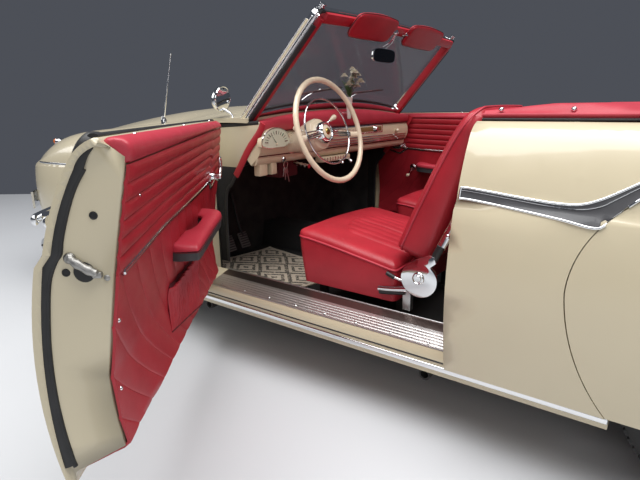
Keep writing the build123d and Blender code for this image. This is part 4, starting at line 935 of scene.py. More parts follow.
def padForm(name, half, corner, topOf, lowOf, place, count=(84, 104), side=0.004, walls=5, cornerBack=None):
    halfX, halfY = half
    nx, ny = count
    top, low = [], []
    for i in range(nx + 1):
        for j in range(ny + 1):
            # columns crowd towards the edges, where the pad rolls over
            u = math.sin((i / nx - 0.5) * math.pi * 0.92) / math.sin(0.46 * math.pi)
            v = math.sin((j / ny - 0.5) * math.pi * 0.80) / math.sin(0.40 * math.pi)
            gapX, gapY = (1 - abs(u)) * halfX, (1 - abs(v)) * halfY
            x, y = roundedPlan(u * halfX, v * halfY, halfX, halfY, corner, cornerBack)
            edge = min(gapX, gapY)
            top.append(place(x, y, topOf(x, y, edge)))
            low.append(place(x, y, lowOf(x, y, edge)))
    points, faces = top + low, []
    span, offset = ny + 1, len(top)
    for i in range(nx):
        for j in range(ny):
            a, b, c, d = i * span + j, (i + 1) * span + j, (i + 1) * span + j + 1, i * span + j + 1
            faces.append((a, b, c, d))
            faces.append((d + offset, c + offset, b + offset, a + offset))
    border = [i * span for i in range(nx)] + [nx * span + j for j in range(ny)]
    border += [i * span + ny for i in range(nx, 0, -1)] + [j for j in range(ny, 0, -1)]
    centre = sum((top[i] for i in border), Vector()) / len(border)
    rings = [border]
    for k in range(1, walls):
        t = k / walls
        ring = []
        for i in border:
            point = top[i] + (low[i] - top[i]) * t
            away = (top[i] - centre)
            away -= (low[i] - top[i]).normalized() * away.dot((low[i] - top[i]).normalized())
            bulge = side * math.sin(math.pi * t) + 0.0012 * noise.noise(point * 9)
            ring.append(len(points))
            points.append(point + away.normalized() * bulge)
        rings.append(ring)
    rings.append([i + offset for i in border])
    for upper, lower in zip(rings, rings[1:]):
        for k in range(len(border)):
            n = (k + 1) % len(border)
            faces.append((upper[k], upper[n], lower[n], lower[k]))
    pad = tidyNormals(fromData(name, points, faces))
    return pad, [top[i] for i in border]


def cushionPad(side):
    halfX = 0.220
    midX = -0.084

    def baseTop(x):
        table = mm((-304, 486), (-200, 504), (-100, 523), (0, 539), (70, 548), (112, 549), (136, 543))
        return alongTable(table, x)

    def topOf(x, y, edge):
        worldX = midX + x
        z = baseTop(worldX) + 0.010 * (1 - (y / seat["cushionHalf"]) ** 2) - 0.004
        z -= rolled(edge, 0.034, 0.026)
        inner = seat["fluteZone"] - abs(y)
        ahead = 0.030 - worldX - 0.10 * (abs(y) / seat["fluteZone"]) ** 2.6 * 0.8
        depth = min(inner, ahead)
        if depth > 0:
            local = ((y + seat["fluteZone"]) / (2 * seat["fluteZone"]) * seat["fluteCount"]) % 1.0
            z += (seat["fluteDepth"] * arch(local) - 0.0025) * min(1.0, depth / 0.012)
        z -= 0.0035 * math.exp(-(depth / 0.004) ** 2)
        return z + 0.0016 * noise.noise(Vector((worldX * 7, y * 7 + side, 0.5)))

    def place(x, y, z):
        worldX = midX + x
        # the front leans back towards its foot and the sides pull in a little
        lean = max(0.0, (0.53 - z)) * 0.17 * max(0.0, (x / halfX)) ** 3
        return Vector((worldX - lean, side * (seat["middle"] + y), z))

    pad, ring = padForm(f"cushion_{side}", (halfX, seat["cushionHalf"]), 0.050, topOf, lambda x, y,
                        edge: 0.345, place, side=0.003, cornerBack=0.02)
    welt = tube("cushionWelt", [p + Vector((0, 0, -0.001)) for p in ring], seat["piping"], 8, True)
    return [painted(pad, "leather"), painted(welt, "highlitLeather")]


# a back that leans from its foot to its head: the way up it and out of it, its middle, half its length
def leaning(foot, head):
    foot, head = Vector(foot), Vector(head)
    rise = (head - foot).normalized()
    return rise, Vector((rise.z, 0, -rise.x)), (head + foot) / 2, (head - foot).length / 2


def backPad(side):
    rise, ahead, middle, half = leaning((-0.366, 0, 0.500), (-0.540, 0, 0.985))
    halfX = half + 0.004

    def topOf(x, y, edge):
        share = x / halfX
        z = 0.046 + 0.010 * (1 - share * share) - 0.022 * max(0.0, share) ** 4
        z += 0.010 * (1 - (y / seat["backHalf"]) ** 2) + 0.046 * (0.5 * max(0.0, 1 - share)) ** 1.4
        z -= rolled(edge, 0.030, 0.022)
        depth = min(0.150 - abs(y), 0.190 - x - 0.07 * (abs(y) / 0.15) ** 2.6)
        if depth > 0:
            local = ((y + 0.150) / 0.300 * seat["fluteCount"]) % 1.0
            z += (seat["fluteDepth"] * arch(local) - 0.0025) * min(1.0, depth / 0.012)
        z -= 0.003 * math.exp(-(depth / 0.004) ** 2)
        return z + 0.0016 * noise.noise(Vector((x * 6, y * 6, 4 + side)))

    def lowOf(x, y, edge):
        share = x / halfX
        z = -0.030 - 0.014 * (1 - share) * 0.5 + 0.014 * max(0.0, share) ** 3
        z -= 0.006 * (1 - (y / seat["backHalf"]) ** 2)
        z += rolled(edge, 0.045, 0.030)
        return z + 0.0014 * noise.noise(Vector((x * 5, y * 5, 9 + side)))

    def place(x, y, z):
        point = middle + rise * x + ahead * z
        return Vector((point.x, side * (seat["backMiddle"] + y), point.z))

    pad, ring = padForm(f"back_{side}", (halfX, seat["backHalf"]), 0.075, topOf, lowOf, place,
                        side=0.002, cornerBack=0.03)
    welt = tube("backWelt", ring, seat["piping"], 8, True)
    return [painted(pad, "leather"), painted(welt, "highlitLeather")]


# flutes of the rear bench, given how far inside their end a point lies
def benchFlutes(y, ahead):
    inner = 0.45 - abs(y)
    if inner <= 0 or ahead <= 0:
        return 0.0
    local = ((y + 0.45) / 0.9 * 20) % 1.0
    return (0.005 * arch(local) - 0.002) * min(1.0, inner / 0.01, ahead / 0.01)


def benchPads():
    made = []

    def cushionTop(x, y, edge):
        z = 0.512 - 0.07 * (x + 0.02) + 0.012 * (1 - (y / 0.572) ** 2)
        return z - rolled(edge, 0.03, 0.022) + benchFlutes(y, 0.11 - abs(x))

    pad, ring = padForm("benchCushion", (0.148, 0.573), 0.03, cushionTop, lambda x, y, e: 0.380,
                        lambda x, y, z: Vector((-0.832 + x + 0.02 * (z - 0.38) / 0.13, y, z)), (30, 150))
    made += [painted(pad, "leather"), painted(tube("benchWelt", ring, 0.004, 8, True), "highlitLeather")]
    rise, ahead, middle, half = leaning((-0.985, 0, 0.500), (-1.060, 0, 0.938))

    def backTop(x, y, edge):
        z = 0.034 + 0.010 * (1 - (x / half) ** 2)
        return z - rolled(edge, 0.028, 0.020) + benchFlutes(y, 0.13 - x)

    def place(x, y, z):
        point = middle + rise * x + ahead * z
        return Vector((point.x, y, point.z))

    pad, ring = padForm("benchBack", (half, 0.573), 0.03, backTop, lambda x, y, e: -0.028, place, (36, 150))
    made += [painted(pad, "leather"), painted(tube("benchBackWelt", ring, 0.004, 8, True), "highlitLeather")]
    return made


for side, tag in ((1, "left"), (-1, "right")):
    for kind, parts in (("cushion", cushionPad(side)), ("back", backPad(side))):
        whole = dress(f"seat_{kind}_{tag}", parts, 60)
        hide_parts("front_seats")
bench = benchPads()
for kind, parts in (("cushion", bench[:2]), ("back", bench[2:])):
    whole = dress(f"bench_{kind}", parts, 60)
    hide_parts("rear_bench")

# recliner on the seat's outer side: dished disc with a boss, arm with a sleeve, levers, runners
recliner = {"x": -0.396, "z": 0.453, "y": 0.6795, "radius": 0.0545}


def plateFrom(name, outline, low, high, bevel=0.0016):
    work = bmesh.new()
    verts = [work.verts.new((x, low, z)) for x, z in outline]
    face = work.faces.new(verts)
    out = bmesh.ops.extrude_face_region(work, geom=[face])
    for vert in (v for v in out["geom"] if isinstance(v, bmesh.types.BMVert)):
        vert.co.y = high
    bmesh.ops.recalc_face_normals(work, faces=work.faces)
    rims = [e for e in work.edges if all(abs(v.co.y - high) < 1e-6 for v in e.verts)
            or all(abs(v.co.y - low) < 1e-6 for v in e.verts)]
    bmesh.ops.bevel(work, geom=rims, offset=bevel, segments=2, profile=0.5, affect="EDGES")
    return fromWork(name, work)


def reclinerSet():
    x, z, y = recliner["x"], recliner["z"], recliner["y"]
    made = Parts()
    neck = [(x + recliner["radius"] * 1.18 * math.cos(a), z - 0.004 + recliner["radius"] * 1.12 * math.sin(a))
            for a in [math.radians(d) for d in range(-232, 42, 8)]]
    outline = neck + [(x + 0.012, z + 0.064), (x - 0.034, z + 0.085), (x - 0.052, z + 0.080),
                      (x - 0.058, z + 0.060)]
    made.add("chrome", plateFrom, "reclinerPlate", outline, y - 0.011, y + 0.0025, 0.003)
    ring = mm((0, 7), (10, 6.8), (12.5, 4.5), (14.5, 4.5), (17, 7.5), (19.5, 6), (21, 1.5), (0, 0))
    made.add("chrome", lathe, "reclinerBoss", ring, (x, y + 0.001, z + 0.001), yAxis, 40)
    sleeve = [(x - 0.044, y - 0.006, z + 0.062), (x - 0.052, y - 0.008, z + 0.082),
              (x - 0.067, y - 0.012, z + 0.116)]
    made.add("black", tube, "reclinerSleeve", spline(sleeve, 6), 0.0135, 14, False, 0.62, yAxis)
    bar = [(x - 0.064, y - 0.012, z + 0.110), (x - 0.082, y - 0.018, z + 0.150),
           (x - 0.110, y - 0.025, z + 0.215), (x - 0.134, y - 0.031, z + 0.280)]
    made.add("chrome", tube, "reclinerArm", spline(bar, 6), 0.0145, 14, False, 0.35, yAxis)
    slit = [(x - 0.090, y - 0.0145, z + 0.150), (x - 0.106, y - 0.018, z + 0.185),
            (x - 0.128, y - 0.024, z + 0.240)]
    made.add("leather", tube, "reclinerSlot", spline(slit, 4), 0.0045, 8, False, 0.4, yAxis)
    for dx, dz in ((-0.086, 0.151), (-0.108, 0.221)):
        made.add("chrome", lathe, "reclinerStud", mm((0, 7), (5, 6.5), (7.2, 3), (7.2, -4), (0, -5)),
                 (x + dx, y - 0.014 - 0.08 * (dz - 0.15), z + dz), yAxis, 20)
    made.add("chrome", block, "reclinerTop", (x - 0.148, y - 0.056, z + 0.270),
             (x - 0.122, y - 0.024, z + 0.300), 0.004)
    made.add("black", block, "reclinerGrip", (x - 0.166, y - 0.052, z + 0.276),
             (x - 0.146, y - 0.030, z + 0.292), 0.003)
    foot = spline([(x + 0.045, y - 0.006, z - 0.050), (x + 0.100, y - 0.004, z - 0.060),
                   (x + 0.152, y - 0.002, z - 0.066)], 6)
    made.add("chrome", tube, "tiltLever", foot, [0.012 - 0.003 * i / len(foot) for i in range(len(foot))],
             14, False, 0.5, yAxis)
    grip = spline([(x + 0.052, y - 0.004, z - 0.062), (x + 0.100, y - 0.002, z - 0.071),
                   (x + 0.146, y, z - 0.077)], 4)
    made.add("black", tube, "tiltGrip", grip, 0.0075, 10, False, 0.7, yAxis)
    pin = spline([(x + 0.048, y - 0.006, z - 0.024), (x + 0.075, y - 0.004, z - 0.018),
                  (x + 0.096, y - 0.003, z - 0.013)], 4)
    made.add("chrome", tube, "slideLever", pin, 0.0045, 10)
    knob = spline([(x + 0.090, y - 0.003, z - 0.015), (x + 0.106, y - 0.002, z - 0.009),
                   (x + 0.120, y - 0.002, z - 0.004)], 4)
    made.add("black", tube, "slideKnob", knob, 0.0075, 12)
    made.add("steel", block, "seatLeg", (x + 0.030, y - 0.030, z - 0.125),
             (x + 0.060, y - 0.006, z - 0.055), 0.003)
    for railY in (0.190, 0.590):
        made.add("under", block, "runner", (-0.330, railY - 0.024, 0.2385), (0.090, railY, 0.2620), 0.003)
        for legX in (-0.300, 0.045):
            made.add("under", block, "runnerLeg", (legX, railY - 0.022, 0.260),
                     (legX + 0.034, railY - 0.002, 0.346), 0.003)
    return made


for tag, place in (("left", None), ("right", mirrorY)):
    whole = dress(f"recliner_{tag}", reclinerSet(), matrix=place)
    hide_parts("seat_frames")
print("seats made")

# folded hood under its cover: a horseshoe round the rear bench, with soft folds, studs and a black edge
hood = {"base": 0.9553, "crown": 0.040}
hoodOuter = mm((-574, 690), (-700, 688), (-900, 680), (-1000, 664), (-1080, 640), (-1130, 575),
               (-1158, 480), (-1160, 300), (-1160, 150), (-1160, 0))
hoodInner = mm((-574, 642), (-640, 622), (-700, 598), (-735, 520), (-758, 420), (-770, 300), (-776, 200),
               (-779, 120), (-780, 60), (-780, 0))


def hoodCover():
    outer = spline([(x, y, 0) for x, y in hoodOuter], 10)
    inner = spline([(x, y, 0) for x, y in hoodInner], 10)
    halves = [[(Vector((a.x, sign * a.y, 0)), Vector((b.x, sign * b.y, 0))) for a, b in zip(outer, inner)]
              for sign in (1, -1)]
    ribs = halves[0] + halves[1][::-1][1:]
    rows = []
    for a, b in ribs:
        width = (b - a).length
        row = []
        bulk = hood["crown"] * min(1.0, width / 0.16) ** 0.8
        for k in range(33):
            t = k / 32
            point = a.lerp(b, t)
            dome = (1 - abs(2 * t - 1) ** 2.6)
            z = hood["base"] + 0.012 + bulk * dome * 0.78
            long = noise.noise(Vector((point.x * 3.1, point.y * 3.1, 1.0)))
            fold = 0.007 * math.sin(t * 9.0 + 5.0 * long + point.y * 4) * dome
            fold += 0.009 * noise.noise(Vector((point.x * 6, point.y * 9, 2.0))) * dome
            fold += 0.004 * abs(noise.noise(Vector((point.x * 17, point.y * 13, 5.0)))) * dome
            z = min(z + fold * min(1.0, width / 0.12), 1.0005)
            row.append(Vector((point.x, point.y, max(z, hood["base"] + 0.004))))
        rows.append(row)
    lows = [[Vector((p.x, p.y, hood["base"] + 0.0005)) for p in (row[0], row[-1])] for row in rows]
    rings = [[low[0]] + row + [low[1]] for row, low in zip(rows, lows)]
    cover = loftPiece("hoodCover", rings)
    edge = [Vector((row[0].x, row[0].y, hood["base"] + 0.004)) for row in rows]
    band = tube("hoodBand", [p + Vector((0, 0.001 if p.y > 0 else -0.001, 0.0)) for p in edge], 0.0045, 10)
    roll = tube("hoodWelt", [p + Vector((0, 0, 0.012)) for p in edge], 0.0052, 10)
    hem = tube("hoodHem", [row[-1] + Vector((0, 0, -0.003)) for row in rows], 0.004, 8)
    made = Parts([painted(band, "rubber"), painted(roll, "hood"), painted(hem, "hood")])
    for x in (-0.620, -0.800, -0.985):
        for sign in (1, -1):
            y = sign * alongTable([(-p[0], p[1]) for p in hoodOuter], -x)
            made.add("chrome", lathe, "hoodStud", mm((0, 6), (4, 5.5), (6.5, 3), (7, -1), (0, -2)),
                     (x, y + sign * 0.001 - sign * 0.012, hood["base"] + 0.030), (0, sign * 0.75, 0.65), 20)
    return [painted(cover, "hood")], made


cloth, trimmings = hoodCover()
whole = dress("hood_cover", cloth, 60)
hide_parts("tonneau_cover")
dress("hood_trimmings", trimmings, 50)
print("hood cover made")

# steering wheel: ivory rim and spokes, chrome horn ring and a plain hub
wheel = {"radius": 0.2058, "grip": 0.0118, "ringHalf": (0.142, 0.134), "ringStand": 0.014, "dish": 0.030}
wheelUp = Vector((math.sin(car["columnTilt"]), 0, math.cos(car["columnTilt"])))
wheelSide = Vector(yAxis)


def onWheel(side, rise, along=0.0):
    return car["wheelHub"] + wheelSide * side + wheelUp * rise + columnDir * along


def steeringWheel():
    made = Parts()
    rim = [onWheel(wheel["radius"] * math.cos(a), wheel["radius"] * math.sin(a)) for a in turns(120)]
    sizes = [wheel["grip"] * (1 + 0.03 * math.cos(a * 36)) for a in turns(120)]
    made.add("plastic", tube, "wheelRim", rim, sizes, 18, True, 0.86)
    wide, tall = wheel["ringHalf"]
    ring = [onWheel(wide * math.cos(a), tall * math.sin(a), wheel["ringStand"]) for a in turns(96)]
    made.add("chrome", tube, "hornRing", ring, 0.0038, 12, True)
    for sign in (1, -1):
        arm = spline([onWheel(sign * 0.030, -0.004, 0.034), onWheel(sign * 0.080, -0.012, 0.033),
                      onWheel(sign * 0.150, -0.020, 0.018), onWheel(sign * 0.203, -0.026, 0.002)], 8)
        sizes = [0.015 - 0.004 * i / len(arm) for i in range(len(arm))]
        made.add("plastic", tube, "spoke", arm, sizes, 14, False, 0.5, tuple(columnDir))
        for lift in (-0.008, 0.0, 0.008):
            bar = spline([onWheel(sign * 0.040, -0.005 + lift, 0.026),
                          onWheel(sign * 0.090, -0.013 + lift, 0.024),
                          onWheel(sign * 0.150, -0.020 + lift * 0.7, 0.010)], 6)
            made.add("chrome", tube, "spokeBead", bar, 0.0026, 8)
        link = spline([onWheel(sign * 0.034, 0.002, 0.022), onWheel(sign * 0.085, 0.004, 0.014),
                       onWheel(sign * 0.142, 0.0, wheel["ringStand"])], 6)
        made.add("chrome", tube, "ringArm", link, 0.0042, 10, False, 0.7)
    centre = onWheel(0, 0, wheel["dish"])
    hub = mm((0, -16), (20, -15), (28, -12), (31, -8), (31, 0), (0, 0))
    made.add("plastic", lathe, "hubCap", hub, centre, columnDir, 40)
    bezel = mm((30, -10), (32.5, -16), (36, -17), (41, -12), (44, -2), (45, 12), (43, 22), (30, 22),
               (29, 0), (30, -10))
    made.add("chrome", lathe, "hubBezel", bezel, centre, columnDir, 12)
    boss = mm((0, -21.5), (8, -21), (12.5, -19), (14.5, -15.5), (14.5, -12), (0, -12))
    made.add("brass", lathe, "hubBoss", boss, centre, columnDir, 32)
    neck = mm((0, 12), (36, 12), (35, 16), (0, 16))
    made.add("plastic", lathe, "hubNeck", neck, centre, columnDir, 32)
    return made


whole = dress("steering_wheel_dress", steeringWheel(), body="steering_wheel")
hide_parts("steering_wheel")


def columnDress():
    bell = mm((0, 49), (52, 49), (62, 53), (66.5, 64), (66, 85), (60, 118), (50, 155), (40, 190),
              (33, 225), (31, 262), (0, 262))
    made = Parts()
    made.add("plastic", lathe, "columnBell", bell, car["wheelHub"], columnDir, 48)
    made.add("black", lathe, "columnTube", mm((0, 260), (20.5, 260), (20.5, 780), (0, 780)),
             car["wheelHub"], columnDir, 32)
    collar = mm((0, 225), (30, 226), (36, 228), (37, 236), (31, 240), (0, 241))
    made.add("chrome", lathe, "columnCollar", collar, car["wheelHub"], columnDir, 40)
    root = onWheel(-0.040, 0.030, 0.072)
    tip = Vector((0.196, 0.322, 0.951))
    made.add("chrome", tube, "gearStalk", [root, root.lerp(tip, 0.35), tip], [0.0046, 0.004, 0.0035], 12)
    out = (tip - root).normalized()
    knob = mm((0, -22), (5, -20), (7.5, -10), (10.5, 0), (11.5, 7), (9, 13), (4, 15.5), (0, 16))
    made.add("plastic", lathe, "gearKnob", knob, tip, out, 24)
    root = onWheel(0.044, 0.012, 0.080)
    tip = onWheel(0.135, 0.030, 0.060)
    made.add("chrome", tube, "signalStalk", [root, root.lerp(tip, 0.5), tip], 0.0036, 10)
    made.add("plastic", lathe, "signalKnob", knob, tip, (tip - root).normalized(), 20)
    return made


whole = dress("steering_column_dress", columnDress())
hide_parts("steering_column")
print("steering made")

# dashboard: painted sill with a fan dial, radio strip, chrome beads, knobs and a hanging key ring
dash = {"dialY": 0.548, "dialZ": 0.884, "radioZ": 0.880, "lowerEdge": 0.806}


def dashX(z):
    if z >= 0.80:
        return arcY((0.342, 0.902), (0.330, 0.858), (0.354, 0.800), z)
    return 0.354 + (0.80 - z) * 0.6


def dashDress():
    made = Parts()
    y, z, x = dash["dialY"], dash["dialZ"], dashX(dash["dialZ"])
    fan = [(y + 0.088 * math.cos(a), z - 0.028 + 0.062 * math.sin(a))
           for a in map(math.radians, range(-8, 190, 9))]
    fan += [(y - 0.05, z - 0.046), (y + 0.05, z - 0.046)]
    centre = Vector((0, y, z - 0.010))

    def fanRing(scale, out):
        return [Vector((x - out, centre.y + (py - centre.y) * scale, centre.z + (pz - centre.z) * scale))
                for py, pz in fan]

    made.add("dashEnamelRedReflection", loftPiece, "dialHousing",
             [fanRing(1.05, -0.006), fanRing(1.05, 0.008), fanRing(1.02, 0.013), fanRing(0.97, 0.014)])
    made.add("chrome", tube, "dialRim", fanRing(0.985, 0.0145), 0.0022, 8, True)
    made.add("dialFace", loftPiece, "dialFace", [fanRing(0.93, 0.0135), fanRing(0.92, 0.0150)])
    for k in range(13):
        a = math.radians(8 + 13.6 * k)
        inner, outer = (0.052, 0.036), (0.070, 0.049)
        p = Vector((x - 0.0155, y + inner[0] * math.cos(a), z - 0.028 + inner[1] * math.sin(a)))
        q = Vector((x - 0.0155, y + outer[0] * math.cos(a), z - 0.028 + outer[1] * math.sin(a)))
        made.append(painted(tube("dialTick", [p, q], 0.0016 if k % 3 == 0 else 0.0009, 6), "leafDark"
                            if k % 2 else "seam"))
    hand = [Vector((x - 0.017, y, z - 0.030)), Vector((x - 0.017, y + 0.030, z + 0.006))]
    made.add("leafDark", tube, "dialHand", hand, [0.0014, 0.0005], 6)
    made.add("plastic", lathe, "dialPivot", mm((0, 4), (4, 3), (6, 0), (0, -1)),
             (x - 0.0155, y, z - 0.030), (-1, 0, 0), 20)
    # radio strip: brown glass, push buttons and two knobs
    rz = dash["radioZ"]
    rx = dashX(rz)
    made.add("chrome", block, "radioFrame", (rx - 0.006, -0.330, rz - 0.021),
             (rx + 0.004, 0.180, rz + 0.021), 0.003)
    made.add("dashEnamelRedReflection", block, "radioInset", (rx - 0.0072, -0.322, rz - 0.016), (rx, 0.172, rz + 0.016),
             0.002)
    made.add("brassDark", block, "radioGlass", (rx - 0.0085, -0.312, rz - 0.012), (rx, -0.075, rz + 0.012),
             0.0015)
    for k in range(5):
        by = 0.085 - 0.030 * k
        made.add("plastic", block, "radioButton", (rx - 0.017, by - 0.011, rz - 0.010),
                 (rx - 0.004, by + 0.011, rz + 0.010), 0.0022)
    for ky in (0.135, -0.240):
        knob = mm((0, 20), (10, 19), (13.5, 14), (15, 4), (17, 0), (0, -2))
        made.add("chrome", lathe, "radioKnob", knob, (rx - 0.007, ky, rz), (-1, 0, 0), 28)
    for k in range(3):
        bz = 0.846 - 0.013 * k
        bead = [(dashX(bz) - 0.0015, 0.235 - 0.010 * k, bz), (dashX(bz) - 0.0015, -0.600, bz - 0.006)]
        made.add("chrome", tube, "dashBead", bead, 0.0028, 8)
    groove = [(dashX(dash["lowerEdge"]) - 0.0008, y, dash["lowerEdge"]) for y in (0.626, -0.626)]
    made.add("seam", tube, "dashGroove", groove, 0.0028, 8)
    for ky, kz, r in ((0.425, 0.842, 0.010), (0.300, 0.838, 0.009), (0.262, 0.838, 0.009),
                      (-0.480, 0.862, 0.011)):
        knob = [(0.0, r * 1.8), (r * 0.6, r * 1.75), (r, r * 1.2), (r * 0.8, r * 0.4), (r * 0.5, 0.0),
                (0.0, -0.002)]
        made.add("plastic", lathe, "dashKnob", knob, (dashX(kz) - 0.001, ky, kz), (-1, 0, 0), 24)
    # ash tray under the lower edge, two relay boxes and the handbrake grip
    made.add("dashEnamelRedReflection", block, "ashTray", (0.340, -0.03, 0.742), (0.386, 0.205, 0.7675), 0.006)
    for k in range(9):
        made.add("chrome", tube, "trayRib",
                 [(0.3385, 0.190 - 0.022 * k, 0.747), (0.3385, 0.190 - 0.022 * k, 0.764)], 0.0022, 8)
    for ky in (0.060, -0.016):
        made.add("chrome", lathe, "trayKnob", mm((0, 30), (7, 28), (10, 20), (8, 8), (4, 0), (0, 0)),
                 (0.345, ky, 0.744), (-0.8, 0, -0.6), 20)
    grip = spline(mm((392, 352, 752), (360, 354, 750), (330, 356, 747), (302, 357, 745)), 5)
    made.add("chrome", tube, "brakeGrip", grip, [0.008, 0.008, 0.009, 0.010] * 4, 14)
    for ky, wide in ((0.580, 0.05), (0.515, 0.036)):
        made.add("dashEnamelRedReflection", block, "relayBox", (0.365, ky - wide / 2, 0.722),
                 (0.400, ky + wide / 2, 0.772), 0.006)
    made.add("seam", block, "heaterBox", (0.420, 0.290, 0.690), (0.520, 0.420, 0.766), 0.010)
    made.add("chrome", lathe, "ignition", mm((0, 12), (10, 11), (13, 5), (14, 0), (0, -4)),
             (0.362, 0.465, 0.785), (-0.9, 0, -0.45), 24)
    loop = [Vector((0.345, 0.465 + 0.013 * math.sin(a), 0.758 + 0.013 * math.cos(a))) for a in turns(24)]
    made.add("chrome", tube, "keyLoop", loop, 0.0013, 6, True)
    for dy, dz, lean in ((0.004, -0.050, 0.2), (-0.009, -0.062, -0.15), (0.012, -0.034, 0.5)):
        top = Vector((0.345, 0.465 + dy * 0.4, 0.746))
        low = Vector((0.343 - lean * 0.01, 0.465 + dy * 2.2, 0.746 + dz))
        made.add("latchZinc", tube, "keyBlade", [top, top.lerp(low, 0.35), top.lerp(low, 0.4), low],
                 [0.007, 0.0075, 0.0035, 0.003], 10, False, 0.25, xAxis)
    return made


def dashRoll():
    rings = []
    for i in range(49):
        y = -0.628 + 1.256 * i / 48
        share = 1 - (y / 0.628) ** 2
        top = 0.944 + 0.042 * share
        back = 0.3915
        section = [(back, 0.9026), (0.343, 0.9026), (0.332, 0.906), (0.3245, 0.918), (0.322, 0.932),
                   (0.326, 0.948 + 0.012 * share), (0.338, 0.944 + 0.030 * share), (0.356, top - 0.003),
                   (0.378, top), (back, top - 0.004)]
        puff = 0.0015 * noise.noise(Vector((y * 8, 0, 1)))
        rings.append([Vector((x - puff, y, z + puff)) for x, z in section])
    roll = subdivided(loftPiece("dashRoll", rings), 2)
    seam = tube("dashRollSeam", [(0.334, -0.626 + 1.252 * i / 40, 0.9035) for i in range(41)], 0.0022, 8)
    # the roll takes the lighter red leather, a painted highlight on its top
    return [painted(roll, "highlitLeather"), painted(seam, "seam")]


def hingePosts():
    edge = [(0.336, 0.9000), (0.398, 0.8350), (0.455, 0.7570)]
    kick = [(0.505, 0.6890), (0.548, 0.6200), (0.556, 0.3300)]
    upper = [(0.330, 0.9430)] + edge + [(0.600, 0.7570), (0.600, 0.9290)]
    lower = [(0.456, 0.7560)] + kick + [(0.600, 0.3300), (0.600, 0.7560)]
    top = [(0.600, 0.9240), (0.460, 0.9310), (0.336, 0.9400)]
    made = []
    for side in (1, -1):
        plates = [painted(plateFrom("postPanel", upper, 0.6286, 0.6312, 0.0006), "enamel"),
                  painted(plateFrom("postKick", lower, 0.6286, 0.6312, 0.0006), "carpet")]
        rail = spline([(x, 0.6300, z) for x, z in [(0.314, 0.9380)] + edge + [(0.482, 0.7210)]], 6)
        foot = spline([(x, 0.6300, z) for x, z in [(0.478, 0.7260)] + kick], 6)
        head = spline([(x, 0.6300, z) for x, z in top], 8)
        plates.append(painted(tube("postTrim", rail, 0.0160, 14, False, 0.25, yAxis), "leather"))
        plates.append(painted(tube("postBead", foot, 0.0080, 12, False, 0.42, yAxis), "rubber"))
        plates.append(painted(tube("postSeal", head, 0.0080, 12, False, 0.42, yAxis), "rubber"))
        made += plates if side > 0 else [turned(p, mirrorY) for p in plates]
    return made


dress("hinge_post_trim", hingePosts())
dress("dashboard_dress", dashDress())
whole = dress("dash_roll_pad", dashRoll(), 50)
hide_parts("dash_roll")
print("dashboard made")

# windscreen: trimmed pillars, header pad, visors, inner mirror, vase
(footX, footZ), (topX, topZ) = car["screenFoot"], car["screenTop"]
screenFoot = Vector((footX, 0, footZ))
screenUp = Vector((topX - footX, 0, topZ - footZ))
screenHeight = screenUp.length
screenUp.normalize()
screenAhead = Vector((screenUp.z, 0, -screenUp.x))


def onScreen(y, rise, out):
    bow = car["screenBow"] * (1 - min(1.0, abs(y) / car["screenHalf"]) ** 2)
    return screenFoot + screenUp * rise + screenAhead * (out + bow) + Vector((0, y, 0))


def screenEdge(rise):
    return car["screenHalf"] - car["screenTaper"] * rise / screenHeight


def pillarDress(side):
    made = Parts()
    span = [-0.020 + (screenHeight + 0.012) * i / 24 for i in range(25)]

    # lines along the pillar, in millimetres: place, how proud, width, height, end below the top
    for name, material, *line in (
            ("pillarBand", "enamel", 10.5, 0.5, 10.5, 5, 30), ("pillarRibA", "chrome", 18.5, 1, 5, 6, 30),
            ("pillarRibB", "chrome", 2.5, 1, 4.5, 7, 20), ("pillarShadow", "black", -2, 0.2, 3.5, 3, 20),
            ("pillarRibC", "chrome", -7.5, 1.2, 7, 7, 0), ("pillarSeal", "rubber", -19, -4, 13, 16, 30),
            ("pillarSealLip", "rubber", -24.5, -10, 9, 12, 30)):
        out, proud, width, height, stop = (v / 1000 for v in line)
        path = [onScreen(side * (screenEdge(r) + proud), r, out) for r in span if r <= screenHeight - stop]
        made.add(material, flatTube, name, path, width, height, 12)
    section = mm((12, -17.5), (13, -26), (20, -29.5), (30, -30), (38, -26), (40.5, -17), (40.5, 6), (36, 8))
    rows = []
    for r in [-0.012 + (screenHeight - 0.010) * i / 30 for i in range(31)]:
        edge = screenEdge(r)
        row = []
        for inset, out in section:
            out += 0.0007 * noise.noise(Vector((r * 20, inset * 60, side)))
            row.append(onScreen(side * (edge - inset), r, out))
        rows.append(row)
    made.add("leather", loftPiece, "pillarTrim", rows)
    return made


